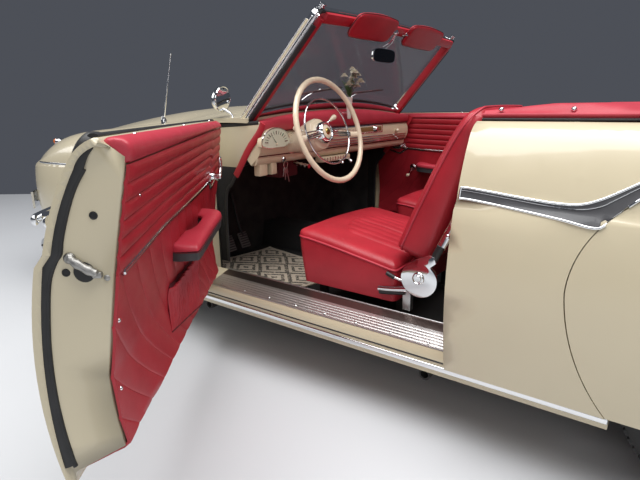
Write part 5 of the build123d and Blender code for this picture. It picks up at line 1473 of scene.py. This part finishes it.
def headerDress():
    made = Parts()
    for out, rise, r in ((0.0165, 0.002, 0.0045), (0.004, 0.004, 0.005)):
        path = [onScreen(-0.585 + 1.17 * i / 40, screenHeight + rise - 0.004, out) for i in range(41)]
        made.add("chrome", tube, "headerBead", path, r, 10)
    seal = [onScreen(-0.588 + 1.176 * i / 40, screenHeight - 0.001, -0.010) for i in range(41)]
    made.add("rubber", tube, "headerSeal", seal, 0.0075, 10)
    section = mm((4, -17.5), (3, -28), (-8, -32), (-22, -32.5), (-34, -29), (-38.5, -18), (-38, 4), (-30, 6))
    rows = []
    for i in range(61):
        y = -0.560 + 1.12 * i / 60
        rows.append([onScreen(y, screenHeight + rise,
                              out + 0.0008 * noise.noise(Vector((y * 14, rise * 60, 3))))
                     for rise, out in section])
    made.add("leather", loftPiece, "headerTrim", rows)
    # catch at both corners: stacked discs beside a flat plate
    for side in (1, -1):
        corner = onScreen(side * 0.575, screenHeight + 0.004, 0.002)
        stack = mm((0, 24), (8, 23.5), (13.5, 21), (13.5, 18), (8, 16.5), (8, 13), (12.5, 11.5), (12.5, 8),
                   (7, 6.5), (7, 3), (10.5, 1), (10.5, -4), (0, -4))
        made.add("chrome", lathe, "catchStack", [(r, h * 0.9) for r, h in stack], corner, screenUp, 32)
        a = onScreen(side * 0.560, screenHeight + 0.004, -0.004)
        b = onScreen(side * 0.520, screenHeight + 0.004, -0.002)
        made.add("chrome", tube, "catchPlate", [a, a.lerp(b, 0.5), b], 0.010, 12, False, 0.3, tuple(screenUp))
    # rubber channel round the glass
    path = [onScreen(-0.575 + 1.15 * i / 50, 0.034 + 0.042 * (1 - (2 * i / 50 - 1) ** 2) - 0.002, 0.001)
            for i in range(51)]
    made.add("rubber", tube, "glassChannel", path, 0.006, 10)
    foot = [onScreen(-0.618 + 1.236 * i / 60, -0.006 + 0.043 * (1 - (2 * i / 60 - 1) ** 2), 0.020)
            for i in range(61)]
    made.add("rubber", tube, "frameFootSeal", foot, 0.0065, 10)
    return made


def visorPads():
    made = []
    for side in (1, -1):
        mid = side * 0.225

        def topOf(x, y, edge):
            return 0.0085 + 0.003 * (1 - (y / 0.165) ** 2) - rolled(edge, 0.02, 0.008)

        def lowOf(x, y, edge):
            return -topOf(x, y, edge)

        def place(x, y, z, mid=mid):
            taper = 0.012 * (y / 0.165) ** 2 * (1 if x > 0 else 0.2)
            return onScreen(mid + y, 0.4955 + x - taper * (x / 0.056), -0.0415 - z)

        pad, ring = padForm("visor", (0.057, 0.165), 0.036, topOf, lowOf, place, (24, 60), 0.001, 3)
        welt = tube("visorWelt", ring, 0.0021, 6, True)
        made.append([painted(pad, "leather"), painted(welt, "seam")])
    return made


def cabinBits():
    made = Parts()
    for side in (1, -1):
        for y in (0.100, 0.350):
            pin = [onScreen(side * y, 0.4905, out) for out in (-0.040, -0.012)]
            made.add("chrome", tube, "visorPin", pin, 0.0045, 12)
        made.add("chrome", block, "visorClamp", (-0.012, -0.012, -0.006), (0.012, 0.012, 0.006), 0.003)
        made[-1].data.transform(Matrix.Translation(onScreen(side * 0.06, 0.488, -0.038)))
    # inner mirror on two wires
    centre = Vector((0.130, 0.019, 1.215))
    ahead = Vector((-1, 0, -0.12)).normalized()
    across, rise = Vector(yAxis), Vector((-0.12, 0, 1)).normalized()

    def oval(half, tall, out):
        ring = []
        for a in turns(48):
            c, s = (math.copysign(abs(v) ** 0.5, v) for v in (math.cos(a), math.sin(a)))
            ring.append(centre + across * c * half + rise * s * tall + ahead * out)
        return ring

    made.add("chrome", loftPiece, "mirrorBack", [oval(0.070, 0.016, -0.016), oval(0.090, 0.026, -0.011),
                                                 oval(0.096, 0.031, 0.0), oval(0.096, 0.031, 0.005)])
    made.add("darkMirror", loftPiece, "mirrorGlass",
             [oval(0.0935, 0.0290, 0.0045), oval(0.0925, 0.0280, 0.0065)])
    hang = onScreen(0.019, 0.486, -0.036)
    for dy in (-0.022, 0.022):
        path = spline([hang, hang.lerp(centre, 0.4) + Vector((0, dy * 0.5, 0)),
                       centre + Vector((0.004, dy, 0.030)), centre + Vector((0.006, dy, 0.012))], 6)
        made.add("chrome", tube, "mirrorWire", path, 0.0019, 8)
    made.add("chrome", lathe, "mirrorFoot", mm((0, 12), (8, 10), (12, 4), (14, 0), (0, -4)),
             onScreen(0.019, 0.486, -0.032), -screenAhead, 24)
    # vase clipped to the roll
    foot = Vector((0.300, 0.042, 0.938))
    glass = mm((0, 0), (7, 1), (9.5, 6), (12.5, 50), (16.5, 96), (17.5, 101), (15.8, 101.5), (14.5, 94),
               (0, 90))
    made.add("white", lathe, "vase", glass, foot, (0, 0, 1), 32)
    made.add("chrome", block, "vaseClip", foot + Vector((0.006, -0.006, 0.021)),
             foot + Vector((0.040, 0.006, 0.035)), 0.002)
    return made


def bouquet():
    random.seed(7)
    made = Parts()
    mouth = Vector((0.300, 0.042, 1.036))
    for _ in range(15):
        out = Vector((random.uniform(-0.045, 0.012), random.uniform(-0.055, 0.060),
                      random.uniform(0.050, 0.135)))
        head = mouth + out
        stem = spline([mouth - Vector((0, 0, 0.012)), mouth + out * 0.4 + Vector((0, 0, 0.006)), head], 4)
        made.add("leaf", tube, "stem", stem, 0.0011, 5)
        size = random.uniform(0.014, 0.024)
        work = bmesh.new()
        for ring in range(4):
            petals = 5 + ring * 2
            for p in range(petals):
                a = 2 * math.pi * p / petals + ring * 0.6
                reach = size * (0.45 + 0.2 * ring)
                lift = size * (0.55 - 0.30 * ring)
                tip = head + Vector((math.cos(a) * reach, math.sin(a) * reach, lift))
                side = Vector((-math.sin(a), math.cos(a), 0)) * size * 0.32
                mid = head.lerp(tip, 0.62) + Vector((0, 0, size * 0.16))
                verts = [work.verts.new(v) for v in (head, mid + side, tip, mid - side)]
                work.faces.new(verts)
        bmesh.ops.solidify(work, geom=list(work.faces), thickness=0.0006)
        made.append(painted(fromWork("blossom", work), "petal"))
    for _ in range(16):
        a = random.uniform(0, 2 * math.pi)
        root = mouth + Vector((0, 0, random.uniform(0.0, 0.03)))
        tip = root + Vector((math.cos(a) * random.uniform(0.02, 0.045),
                             math.sin(a) * random.uniform(0.02, 0.045), random.uniform(0.02, 0.07)))
        side = Vector((-math.sin(a), math.cos(a), 0)) * 0.005
        mid = root.lerp(tip, 0.55) + Vector((0, 0, 0.008))
        points = [root, mid + side, tip, mid - side, mid + Vector((0, 0, -0.001))]
        blade = fromData("blade", points, [(0, 1, 4), (1, 2, 4), (2, 3, 4), (3, 0, 4), (0, 3, 2, 1)])
        made.append(painted(tidyNormals(blade), "leaf"))
    return made


dress("windscreen_dress", headerDress() + pillarDress(1) + pillarDress(-1))
for parts, tag in zip(visorPads(), ("left", "right")):
    whole = dress(f"visor_{tag}", parts, 50)
dress("cabin_small_parts", cabinBits())
dress("vase_flowers", bouquet())
print("windscreen and cabin fittings made")


# crease strip along the body side, dipping band, fender strip and tread plate
def creaseStrip(name, xs, heights, tall):
    path = [(x, sideY(x, z) + 0.001, z) for x, z in zip(xs, heights)]
    return [painted(tube(name, path, [t / 2 for t in tall], 14, False, 0.42, yAxis), "chrome")]


def doorCrease():
    xs, zs = between(-0.549, 0.585, 40), between(0.767, 0.747, 40)
    shade = [(x, sideY(x, z) + 0.0035, z) for x, z in zip(xs, zs)]
    line = painted(tube("doorCreaseLine", shade, 0.0022, 8, False, 1.4, yAxis), "bandGrey")
    return creaseStrip("doorCrease", xs, zs, between(0.024, 0.018, 40)) + [line]


band = {
    "upper": mm((-570, 785), (-604, 784), (-760, 770), (-828, 767), (-870, 771), (-909, 787), (-945, 808),
                (-985, 832), (-1045, 858), (-1130, 874), (-1300, 882), (-1700, 862), (-2080, 818.5)),
    "lower": mm((-570, 756), (-604, 755), (-739, 742), (-831, 732), (-906, 722), (-933, 746), (-984, 795),
                (-1050, 830), (-1130, 850), (-1300, 860), (-1700, 846), (-2080, 809.5)),
    "stand": 0.0030, "bead": 0.0036,
}


def evenly(points, count):
    path = spline([Vector((x, 0, z)) for x, z in points], 12)
    lengths = [0.0]
    for a, b in zip(path, path[1:]):
        lengths.append(lengths[-1] + (b - a).length)
    out, k = [], 0
    for i in range(count):
        goal = lengths[-1] * i / (count - 1)
        while k < len(path) - 2 and lengths[k + 1] < goal:
            k += 1
        share = (goal - lengths[k]) / max(lengths[k + 1] - lengths[k], 1e-9)
        out.append(path[k].lerp(path[k + 1], min(1.0, share)))
    return out


def sideBand():
    count = 150
    upper, lower = evenly(band["upper"], count), evenly(band["lower"], count)
    rings = []
    for a, b in zip(upper, lower):
        front, back = [], []
        for k in range(6):
            point = a.lerp(b, 0.04 + 0.92 * k / 5)
            y = sideY(point.x, point.z)
            front.append(Vector((point.x, y + band["stand"] - 0.0012 * math.sin(math.pi * k / 5), point.z)))
            back.append(Vector((point.x, y - 0.001, point.z)))
        rings.append(front + back[::-1])
    made = Parts([painted(loftPiece("bandInfill", rings), "bandGrey")])
    for name, line in (("bandUpper", upper), ("bandLower", lower)):
        path = [(p.x, sideY(p.x, p.z) + 0.0022, p.z) for p in line]
        made.add("chrome", tube, name, path, band["bead"], 12)
    inner = [(p.x, sideY(p.x, p.z) + 0.0030, p.z) for p in (a.lerp(b, 0.24) for a, b in zip(upper, lower))]
    made.add("chrome", tube, "bandLine", inner, 0.0014, 8)
    a, b = upper[0], lower[0]
    cap = [(p.x, sideY(-0.572, p.z) + 0.0022, p.z) for p in (a.lerp(b, k / 6) for k in range(7))]
    made.add("chrome", tube, "bandEnd", cap, band["bead"], 12)
    return made


tread = {"rear": -0.546, "front": 0.500, "innerY": 0.6845, "innerZ": 0.3195, "outerY": 0.7935,
         "outerZ": 0.2862, "ribs": 9, "darkInnerTo": 0.722}


def treadPlate():
    profile = []
    for k in range(tread["ribs"] * 6 + 1):
        t = k / (tread["ribs"] * 6)
        groove = 0.0011 * (1 - abs(2 * ((t * tread["ribs"]) % 1.0) - 1)) ** 4 if 0.45 < t < 0.95 else 0.0
        y = tread["innerY"] + (tread["outerY"] - tread["innerY"]) * t
        z = tread["innerZ"] + (tread["outerZ"] - tread["innerZ"]) * t
        profile.append((y, z + 0.0012 - groove))
    profile += mm((794.5, 283.5), (792.5, 281.5), (790, 282.8), (684, 316.5))
    rings = [[Vector((x, y, z)) for y, z in profile] for x in between(tread["rear"], tread["front"], 3)]
    plate = loftPiece("treadPlate", rings)
    for material in ("tread", "treadDark"):
        plate.data.materials.append(look[material])
    # faces on the inner strip, towards the cabin, take the darker, browner aluminium
    for face in plate.data.polygons:
        face.material_index = 1 if face.center.y < tread["darkInnerTo"] else 0
    made = Parts()
    made.append(plate)
    for k in range(8):
        x = tread["rear"] + 0.06 + (tread["front"] - tread["rear"] - 0.12) * k / 7
        made.add("steel", lathe, "treadScrew", mm((0, 2.2), (3, 1.8), (5.2, 0.2), (0, -1)),
                 (x, 0.7835, 0.2915), (0, 0.29, 0.957), 16)
    made.add("steel", tube, "treadEdge", [(x, 0.6845, 0.3208) for x in between(-0.544, 0.498, 8)], 0.0032, 10)
    made.add("chrome", block, "sillStrip", (-0.984, 0.8025, 0.2205), (0.928, 0.8105, 0.2375), 0.0034, 3)
    made.add("rubber", tube, "sillSeal", [(x, 0.8015, 0.2480) for x in between(-0.545, 0.580, 12)], 0.0034,
             10)
    made.add("rubber", tube, "sillCarpetEdge", [(x, 0.678, 0.3165) for x in between(-0.540, 0.500, 12)],
             0.0055, 10)
    return made


def fenderStrip():
    xs = between(0.607, 1.895, 60)
    return creaseStrip("fenderStrip", xs, between(0.7468, 0.7172, 60), between(0.019, 0.010, 60))


for tag, bodyPlace, doorPlace in (("left", None, openLeft), ("right", mirrorY, mirrorY)):
    parts = sideBand() + fenderStrip() + treadPlate()
    whole = dress(f"side_trim_{tag}", parts, matrix=bodyPlace)
    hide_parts("body_trim")
    crease = dress(f"door_{tag}_crease", doorCrease(), 40, f"door_{tag}", doorPlace)
    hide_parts(f"door_{tag}_trim")
print("side trim made")

# patterned rug on the driver's footwell
rugPlan = {"middle": (0.500, 0.400), "half": (0.300, 0.220), "turn": math.radians(-9), "thick": 0.006}


def floorZ(x, y):
    hit = floorTree.ray_cast(Vector((x, y, 0.60)), Vector((0, 0, -1)))[0]
    return hit.z if hit is not None else 0.238


def rugSheet():
    c, s = math.cos(rugPlan["turn"]), math.sin(rugPlan["turn"])
    (midX, midY), (halfU, halfV) = rugPlan["middle"], rugPlan["half"]
    top = []
    for i in range(61):
        row = []
        for j in range(47):
            u = (2 * i / 60 - 1) * halfU
            v = (2 * j / 46 - 1) * halfV
            x = midX + u * c - v * s
            y = midY + u * s + v * c
            low = max(floorZ(x + dx, y + dy) for dx, dy in ((0, 0), (0.02, 0), (-0.02, 0), (0, 0.02),
                                                            (0, -0.02)))
            wave = 0.0025 + 0.004 * max(0.0, noise.noise(Vector((x * 7, y * 7, 1.5))))
            corner = (abs(u) / halfU) ** 8 * (abs(v) / halfV) ** 8
            row.append(Vector((x, y, min(low, 0.40) + wave + 0.006 * corner + rugPlan["thick"])))
        top.append(row)
    return painted(thickened(gridPiece("floor_rug", top), rugPlan["thick"], zAxis), "rug")


rug = smoothShade(rugSheet(), 50)
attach(rug, carBody)
print("rug laid")


# pedals: rubber pads with ribs on forged arms
def pedals():
    made = Parts()
    lean = Matrix.Rotation(math.atan2(0.42, 0.9) - math.pi / 2, 4, "Y")
    for y in (0.330, 0.430, 0.520):
        place = Matrix.Translation((0.764, y, 0.333)) @ lean
        pad = block("pedalPad", (-0.040, -0.030, -0.004), (0.040, 0.030, 0.005), 0.003)
        made.append(painted(turned(pad, place), "iron"))
        for k in range(6):
            rib = block("pedalRib", (-0.034 + 0.0125 * k, -0.026, 0.004),
                        (-0.028 + 0.0125 * k, 0.026, 0.0075), 0.001, 1)
            made.append(painted(turned(rib, place), "rubber"))
        arm = spline([(0.770, y, 0.352), (0.800, y, 0.420), (0.820, y, 0.500), (0.842, y, 0.572)], 5)
        made.add("black", tube, "pedalArm", arm, 0.007, 10)
    return made


whole = dress("pedals", pedals())
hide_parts("cabin_fittings")


# outer mirror, aerial and wipers
def cowlDress():
    made = Parts()
    made.add("chrome", lathe, "mirrorBase", mm((0, -4), (19, -4), (18.5, 2), (13, 9), (0, 13)),
             (0.505, 0.606, 0.951), (0, 0.1, 1), 32)
    stalk = spline(mm((505, 606, 958), (510, 612, 972), (524, 622, 986), (544, 630, 998)), 6)
    made.add("chrome", tube, "mirrorStalk", stalk, 0.0058, 12)
    head = Vector((0.545, 0.633, 1.034))
    facing = Vector((-0.94, -0.18, -0.10)).normalized()
    bowl = mm((0, -30), (18, -28), (34, -22), (46, -10), (51, 4), (52, 12), (50, 15), (47.5, 13.5), (0, 13))
    made.add("chrome", lathe, "mirrorBowl", bowl, head, facing, 56)
    made.add("mirror", lathe, "mirrorFace", mm((47.8, 13), (47.5, 14.2), (0, 15), (0, 13)), head, facing, 56)
    foot = Vector((0.886, 0.668, 0.945))
    lean = Vector((-0.32, 0, 1)).normalized()
    made.add("chrome", lathe, "aerialFoot", mm((0, -22), (13, -22), (12.5, 4), (9, 12), (6, 22), (0, 24)),
             foot, (-0.05, 0.1, 1), 28)
    mast = [foot + lean * d for d in (0.0, 0.09, 0.092, 0.18, 0.182, 0.288)]
    made.add("chrome", tube, "aerialMast", mast, [0.0034, 0.0032, 0.0025, 0.0024, 0.0017, 0.0016], 10)
    made.add("chrome", lathe, "aerialTip", mm((0, 4), (2.6, 2), (3, 0), (2.4, -3), (0, -4)),
             foot + lean * 0.290, lean, 16)
    for side in (1, -1):
        middle = side * 0.190 - 0.020
        blade = [onScreen(middle + 0.290 * t, 0.110 - 0.0405 * t, 0.0225)
                 for t in (k / 16 - 0.5 for k in range(17))]
        made.add("rubber", tube, "wiperBlade", blade, 0.0042, 8)
        back = [p + screenAhead * 0.005 for p in blade]
        made.add("chrome", tube, "wiperSpine", back, 0.0024, 8)
        pivot = onScreen(side * 0.190 + 0.108, 0.018, 0.020)
        arm = spline([pivot, pivot.lerp(blade[8], 0.5) + screenAhead * 0.016,
                      blade[8] + screenAhead * 0.010], 6)
        made.add("chrome", tube, "wiperArm", arm, 0.0036, 8, False, 0.7)
        made.add("chrome", lathe, "wiperPivot", mm((0, 16), (6, 15), (9, 9), (10.5, 0), (0, -30)), pivot,
                 screenAhead, 24)
    return made


whole = dress("cowl_fittings_dress", cowlDress())
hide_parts("cowl_fittings")


# lamps: ribbed headlamp glass in a chrome rim, amber torpedoes and red tail lamps
def lampSet():
    made = Parts()
    for side in (1, -1):
        centre = Vector((2.0855, side * 0.622, 0.618))
        rim = mm((0, 0), (88, 0), (88.2, 6), (86, 14), (80.5, 20.5), (75.5, 22), (72.2, 18.5), (72.2, 10),
                 (0, 8))
        made.add("chrome", lathe, "lampRim", rim, centre, xAxis, 64)
        made.add("mirror", lathe, "lampBowl", mm((71.8, 17), (50, 13), (20, 10.5), (0, 10.2), (0, 8.5),
                                                 (71.8, 9.5)), centre, xAxis, 48)
        angles = [math.pi / 2 * (1 - k / 12) for k in range(13)]
        glass = [(0.072 * math.sin(a), 0.0185 + 0.0275 * math.cos(a)) for a in angles]
        lens = lathe("lampLens", [(0.0, 0.0165)] + [(0.072, 0.0165)] + glass, centre, xAxis, 64)
        for vert in lens.data.vertices:
            if vert.co.x > centre.x + 0.021:
                vert.co.x -= 0.0010 * abs(math.sin((vert.co.y - centre.y) * 210))
        made.append(painted(lens, "clearLens"))
        nose = Vector((1.960, side * 0.622, 0.818))

        def torpedo(radius, low, high):
            return [(radius * math.sqrt(max(0.0, 1 - (h / 0.066) ** 2)), h) for h in between(low, high, 16)]

        shape = torpedo(0.022, -0.066, 0.004) + [(0.0, 0.004)]
        made.add("chrome", lathe, "torpedoTail", shape, nose, xAxis, 32)
        shape = [(0.0, 0.006)] + torpedo(0.0208, 0.006, 0.066)
        made.add("amber", lathe, "torpedoLens", shape, nose, xAxis, 32)
        made.add("chrome", lathe, "torpedoRing", mm((21.5, 0), (23.2, 3), (23.2, 8), (21.2, 10), (0, 10),
                                                    (0, 0)), nose, xAxis, 32)
        made.add("chrome", block, "torpedoFoot", (1.922, side * 0.622 - 0.009, 0.757),
                 (1.998, side * 0.622 + 0.009, 0.806), 0.006, 3)

        def oval(scale, out, side=side):
            ring = []
            for a in turns(48):
                y = 0.038 * math.cos(a)
                z = 0.038 * math.sin(a) + (0.037 if math.sin(a) >= 0 else -0.037)
                ring.append(Vector((-2.1905 - out, side * 0.622 + y * scale, 0.600 + z * scale)))
            return ring

        rim = [oval(*step) for step in ((1.0, 0.0), (1.0, 0.010), (0.95, 0.015), (0.88, 0.013),
                                        (0.86, 0.006))]
        made.add("chrome", loftPiece, "tailRim", rim)
        lens = [oval(*step) for step in ((0.86, 0.007), (0.84, 0.014), (0.70, 0.020), (0.45, 0.024),
                                         (0.15, 0.0258))]
        made.add("redLens", loftPiece, "tailLens", lens)
        bar = [(-2.2135, side * 0.622 + across, 0.604) for across in (-0.031, 0.031)]
        made.add("chrome", tube, "tailBar", bar, 0.003, 10)
    return made


whole = dress("lamps_dress", lampSet())
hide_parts("lamps")
print("outer fittings made")

# wheels: painted rims with a chrome cap, tyres with tread blocks laid round by geometry nodes
wheelPlan = {"fl": (1.300, 0.673), "fr": (1.300, -0.673), "rl": (-1.300, 0.685), "rr": (-1.300, -0.685)}
tyreSize = {"radius": 0.318, "rows": 5, "blocks": 78, "rowStep": 0.0215}


def blockRing(name, centre, y, count, block, turn):
    tree = bpy.data.node_groups.new(name, "GeometryNodeTree")
    for label, kind in (("Count", "Int"), ("Radius", "Float"), ("Block", "Vector"), ("Material", "Material")):
        tree.interface.new_socket(label, in_out="INPUT", socket_type="NodeSocket" + kind)
    tree.interface.new_socket("Mesh", in_out="OUTPUT", socket_type="NodeSocketGeometry")
    into, circle, brick, place, spot, align, solid, coat, out = (tree.nodes.new(kind) for kind in (
        "NodeGroupInput", "GeometryNodeMeshCircle", "GeometryNodeMeshCube", "GeometryNodeInstanceOnPoints",
        "GeometryNodeInputPosition", "FunctionNodeAlignRotationToVector", "GeometryNodeRealizeInstances",
        "GeometryNodeSetMaterial", "NodeGroupOutput"))
    align.axis = "X"
    for source, outlet, target, inlet in (
            (into, "Count", circle, "Vertices"), (into, "Radius", circle, "Radius"), (into, "Block", brick,
                    "Size"),
            (circle, "Mesh", place, "Points"), (brick, "Mesh", place, "Instance"),
            (spot, "Position", align, "Vector"), (align, "Rotation", place, "Rotation"),
            (place, "Instances", solid, "Geometry"), (solid, "Geometry", coat, "Geometry"),
            (into, "Material", coat, "Material"), (coat, "Geometry", out, "Mesh")):
        tree.links.new(source.outputs[outlet], target.inputs[inlet])
    piece = fromData(name, [(0, 0, 0)], [])
    piece.matrix_world = (Matrix.Translation((centre[0], y, tyreSize["radius"]))
                          @ Matrix.Rotation(math.pi / 2, 4, "X") @ Matrix.Rotation(turn, 4, "Z"))
    ring = piece.modifiers.new("blocks", "NODES")
    ring.node_group = tree
    values = {"Count": count, "Radius": tyreSize["radius"] - block[0] / 2 - 0.0004, "Block": block,
              "Material": look["tyre"]}
    for item in tree.interface.items_tree:
        if item.item_type == "SOCKET" and item.in_out == "INPUT":
            ring[item.identifier] = values[item.name]
    return bake(piece)


def tyreDress(centre):
    side = 1 if centre[1] > 0 else -1
    profile = mm((180, -56.5), (200.5, -69), (222, -74.5), (240, -74.8), (262, -73.5), (288, -68),
                 (304, -58), (311.5, -50), (313.5, -46), (313.5, 46), (311.5, 50), (304, 58), (288, 68),
                 (262, 73.5), (240, 74.8), (237.5, 73.8), (222, 74.5), (200.5, 69), (190, 63.5),
                 (180, 56.5), (162, 50), (162, -50))
    rings = [[Vector((centre[0] + r * math.cos(a), centre[1] + h * side, tyreSize["radius"]
                      + r * math.sin(a))) for r, h in profile] for a in turns(96)]
    made = []
    made.append(painted(tidyNormals(gridPiece("tyreBody", rings, True, True)), "tyre"))
    for row in range(tyreSize["rows"]):
        y = centre[1] + (row - 2) * tyreSize["rowStep"] * side
        shift = math.pi / tyreSize["blocks"] * (row % 2)
        size = (0.0075 if row in (0, 4) else 0.0060, 0.0180, 0.0165)
        made.append(blockRing(f"treadRow{row}", centre, y, tyreSize["blocks"], size, shift))
    return made


for suffix, centre in wheelPlan.items():
    whole = dress(f"tyre_{suffix}_dress", tyreDress(centre), 35, f"wheel_{suffix}")
    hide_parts(f"tyre_{suffix}")
    side = 1 if centre[1] > 0 else -1
    copy = smoothCopy(f"rim_{suffix}", "enamel", 35)
    for material in ("chrome", "iron"):
        copy.data.materials.append(look[material])
    for face in copy.data.polygons:
        reach = math.hypot(face.center.x - centre[0], face.center.z - tyreSize["radius"])
        out = (face.center.y - centre[1]) * side
        if reach < 0.1005 and out > 0.02:
            face.material_index = 1
        else:
            face.material_index = 2 if reach < 0.13 and out < 0.02 else 0
print("wheels made")

# floor, backdrop, light and camera
view = {"place": (-1.0688, 2.1045, 1.0024), "yaw": -53.01, "pitch": -15.03, "roll": -0.78, "pixels": 500.6,
        "width": 640, "sensor": 36}
stage = {"side": 9.0, "near": -6.0, "far": 6.1}
floorPaint = Paint("studio_floor", {"Roughness": 0.55})
floorPaint.feed("Base Color", floorPaint.mix(floorPaint.noise(1.2, 3), (0.60, 0.61, 0.63),
                                             (0.65, 0.66, 0.68)))
sight = Matrix.Translation((*view["place"][:2], 0)) @ Matrix.Rotation(math.radians(view["yaw"]), 4, "Z")
corners = [[sight @ Vector((depth, side, -0.0005)) for side in (-stage["side"], stage["side"])]
           for depth in (stage["near"], stage["far"])]
floorPiece = gridPiece("studio_floor", corners)
floorPiece.data.materials.append(floorPaint.material)

world = bpy.data.worlds.new("studio")
scene.world = world
world.use_nodes = True
# pale light from all sides; camera, glossy and transmission rays see a dark tone instead
sky, skyLinks = world.node_tree.nodes, world.node_tree.links
background, worldOut = sky["Background"], sky["World Output"]
background.inputs["Color"].default_value = (0.92, 0.95, 1.0, 1)
background.inputs["Strength"].default_value = 0.30
lightPath, seen, blendWorld = (sky.new("ShaderNode" + kind)
                               for kind in ("LightPath", "Background", "MixShader"))
seen.inputs["Color"].default_value = (0.074, 0.080, 0.096, 1)
share = lightPath.outputs["Is Camera Ray"]
for ray in ("Is Glossy Ray", "Is Transmission Ray"):
    adds = sky.new("ShaderNodeMath")
    adds.operation = "ADD"
    adds.use_clamp = True
    skyLinks.new(share, adds.inputs[0])
    skyLinks.new(lightPath.outputs[ray], adds.inputs[1])
    share = adds.outputs[0]
for source, inlet in ((share, 0), (background.outputs[0], 1), (seen.outputs[0], 2)):
    skyLinks.new(source, blendWorld.inputs[inlet])
skyLinks.new(blendWorld.outputs[0], worldOut.inputs[0])


def softLamp(name, place, target, size, power):
    data = bpy.data.lights.new(name, "AREA")
    data.shape = "RECTANGLE"
    data.size, data.size_y = size
    data.energy = power
    lamp = bpy.data.objects.new(name, data)
    scene.collection.objects.link(lamp)
    lamp.location = place
    lamp.rotation_euler = (Vector(target) - Vector(place)).to_track_quat("-Z", "Y").to_euler()


softLamp("overhead", (-0.6, 1.2, 4.2), (0, 0.2, 0.4), (5.0, 3.0), 285)
softLamp("left_side", (-2.8, 5.0, 2.4), (0, 0.5, 0.6), (3.5, 2.0), 30)
softLamp("front", (4.8, 2.2, 2.6), (1.0, 0, 0.6), (2.5, 2.0), 34)

yaw, pitch, roll = (math.radians(view[k]) for k in ("yaw", "pitch", "roll"))
forward = Vector((math.cos(yaw) * math.cos(pitch), math.sin(yaw) * math.cos(pitch), math.sin(pitch)))
right = forward.cross(Vector((0, 0, 1))).normalized()
up = right.cross(forward)
right, up = (right * math.cos(roll) + up * math.sin(roll)), (up * math.cos(roll) - right * math.sin(roll))
cameraData = bpy.data.cameras.new("photo_view")
cameraData.sensor_width = view["sensor"]
cameraData.lens = view["pixels"] / view["width"] * view["sensor"]
camera = bpy.data.objects.new("photo_view", cameraData)
scene.collection.objects.link(camera)
camera.matrix_world = Matrix.Translation(view["place"]) @ Matrix((right, up, -forward)).transposed().to_4x4()
cameraData.clip_start = 0.05
cameraData.clip_end = 60
scene.camera = camera
scene.view_settings.view_transform = "Standard"
print("stage and camera made")
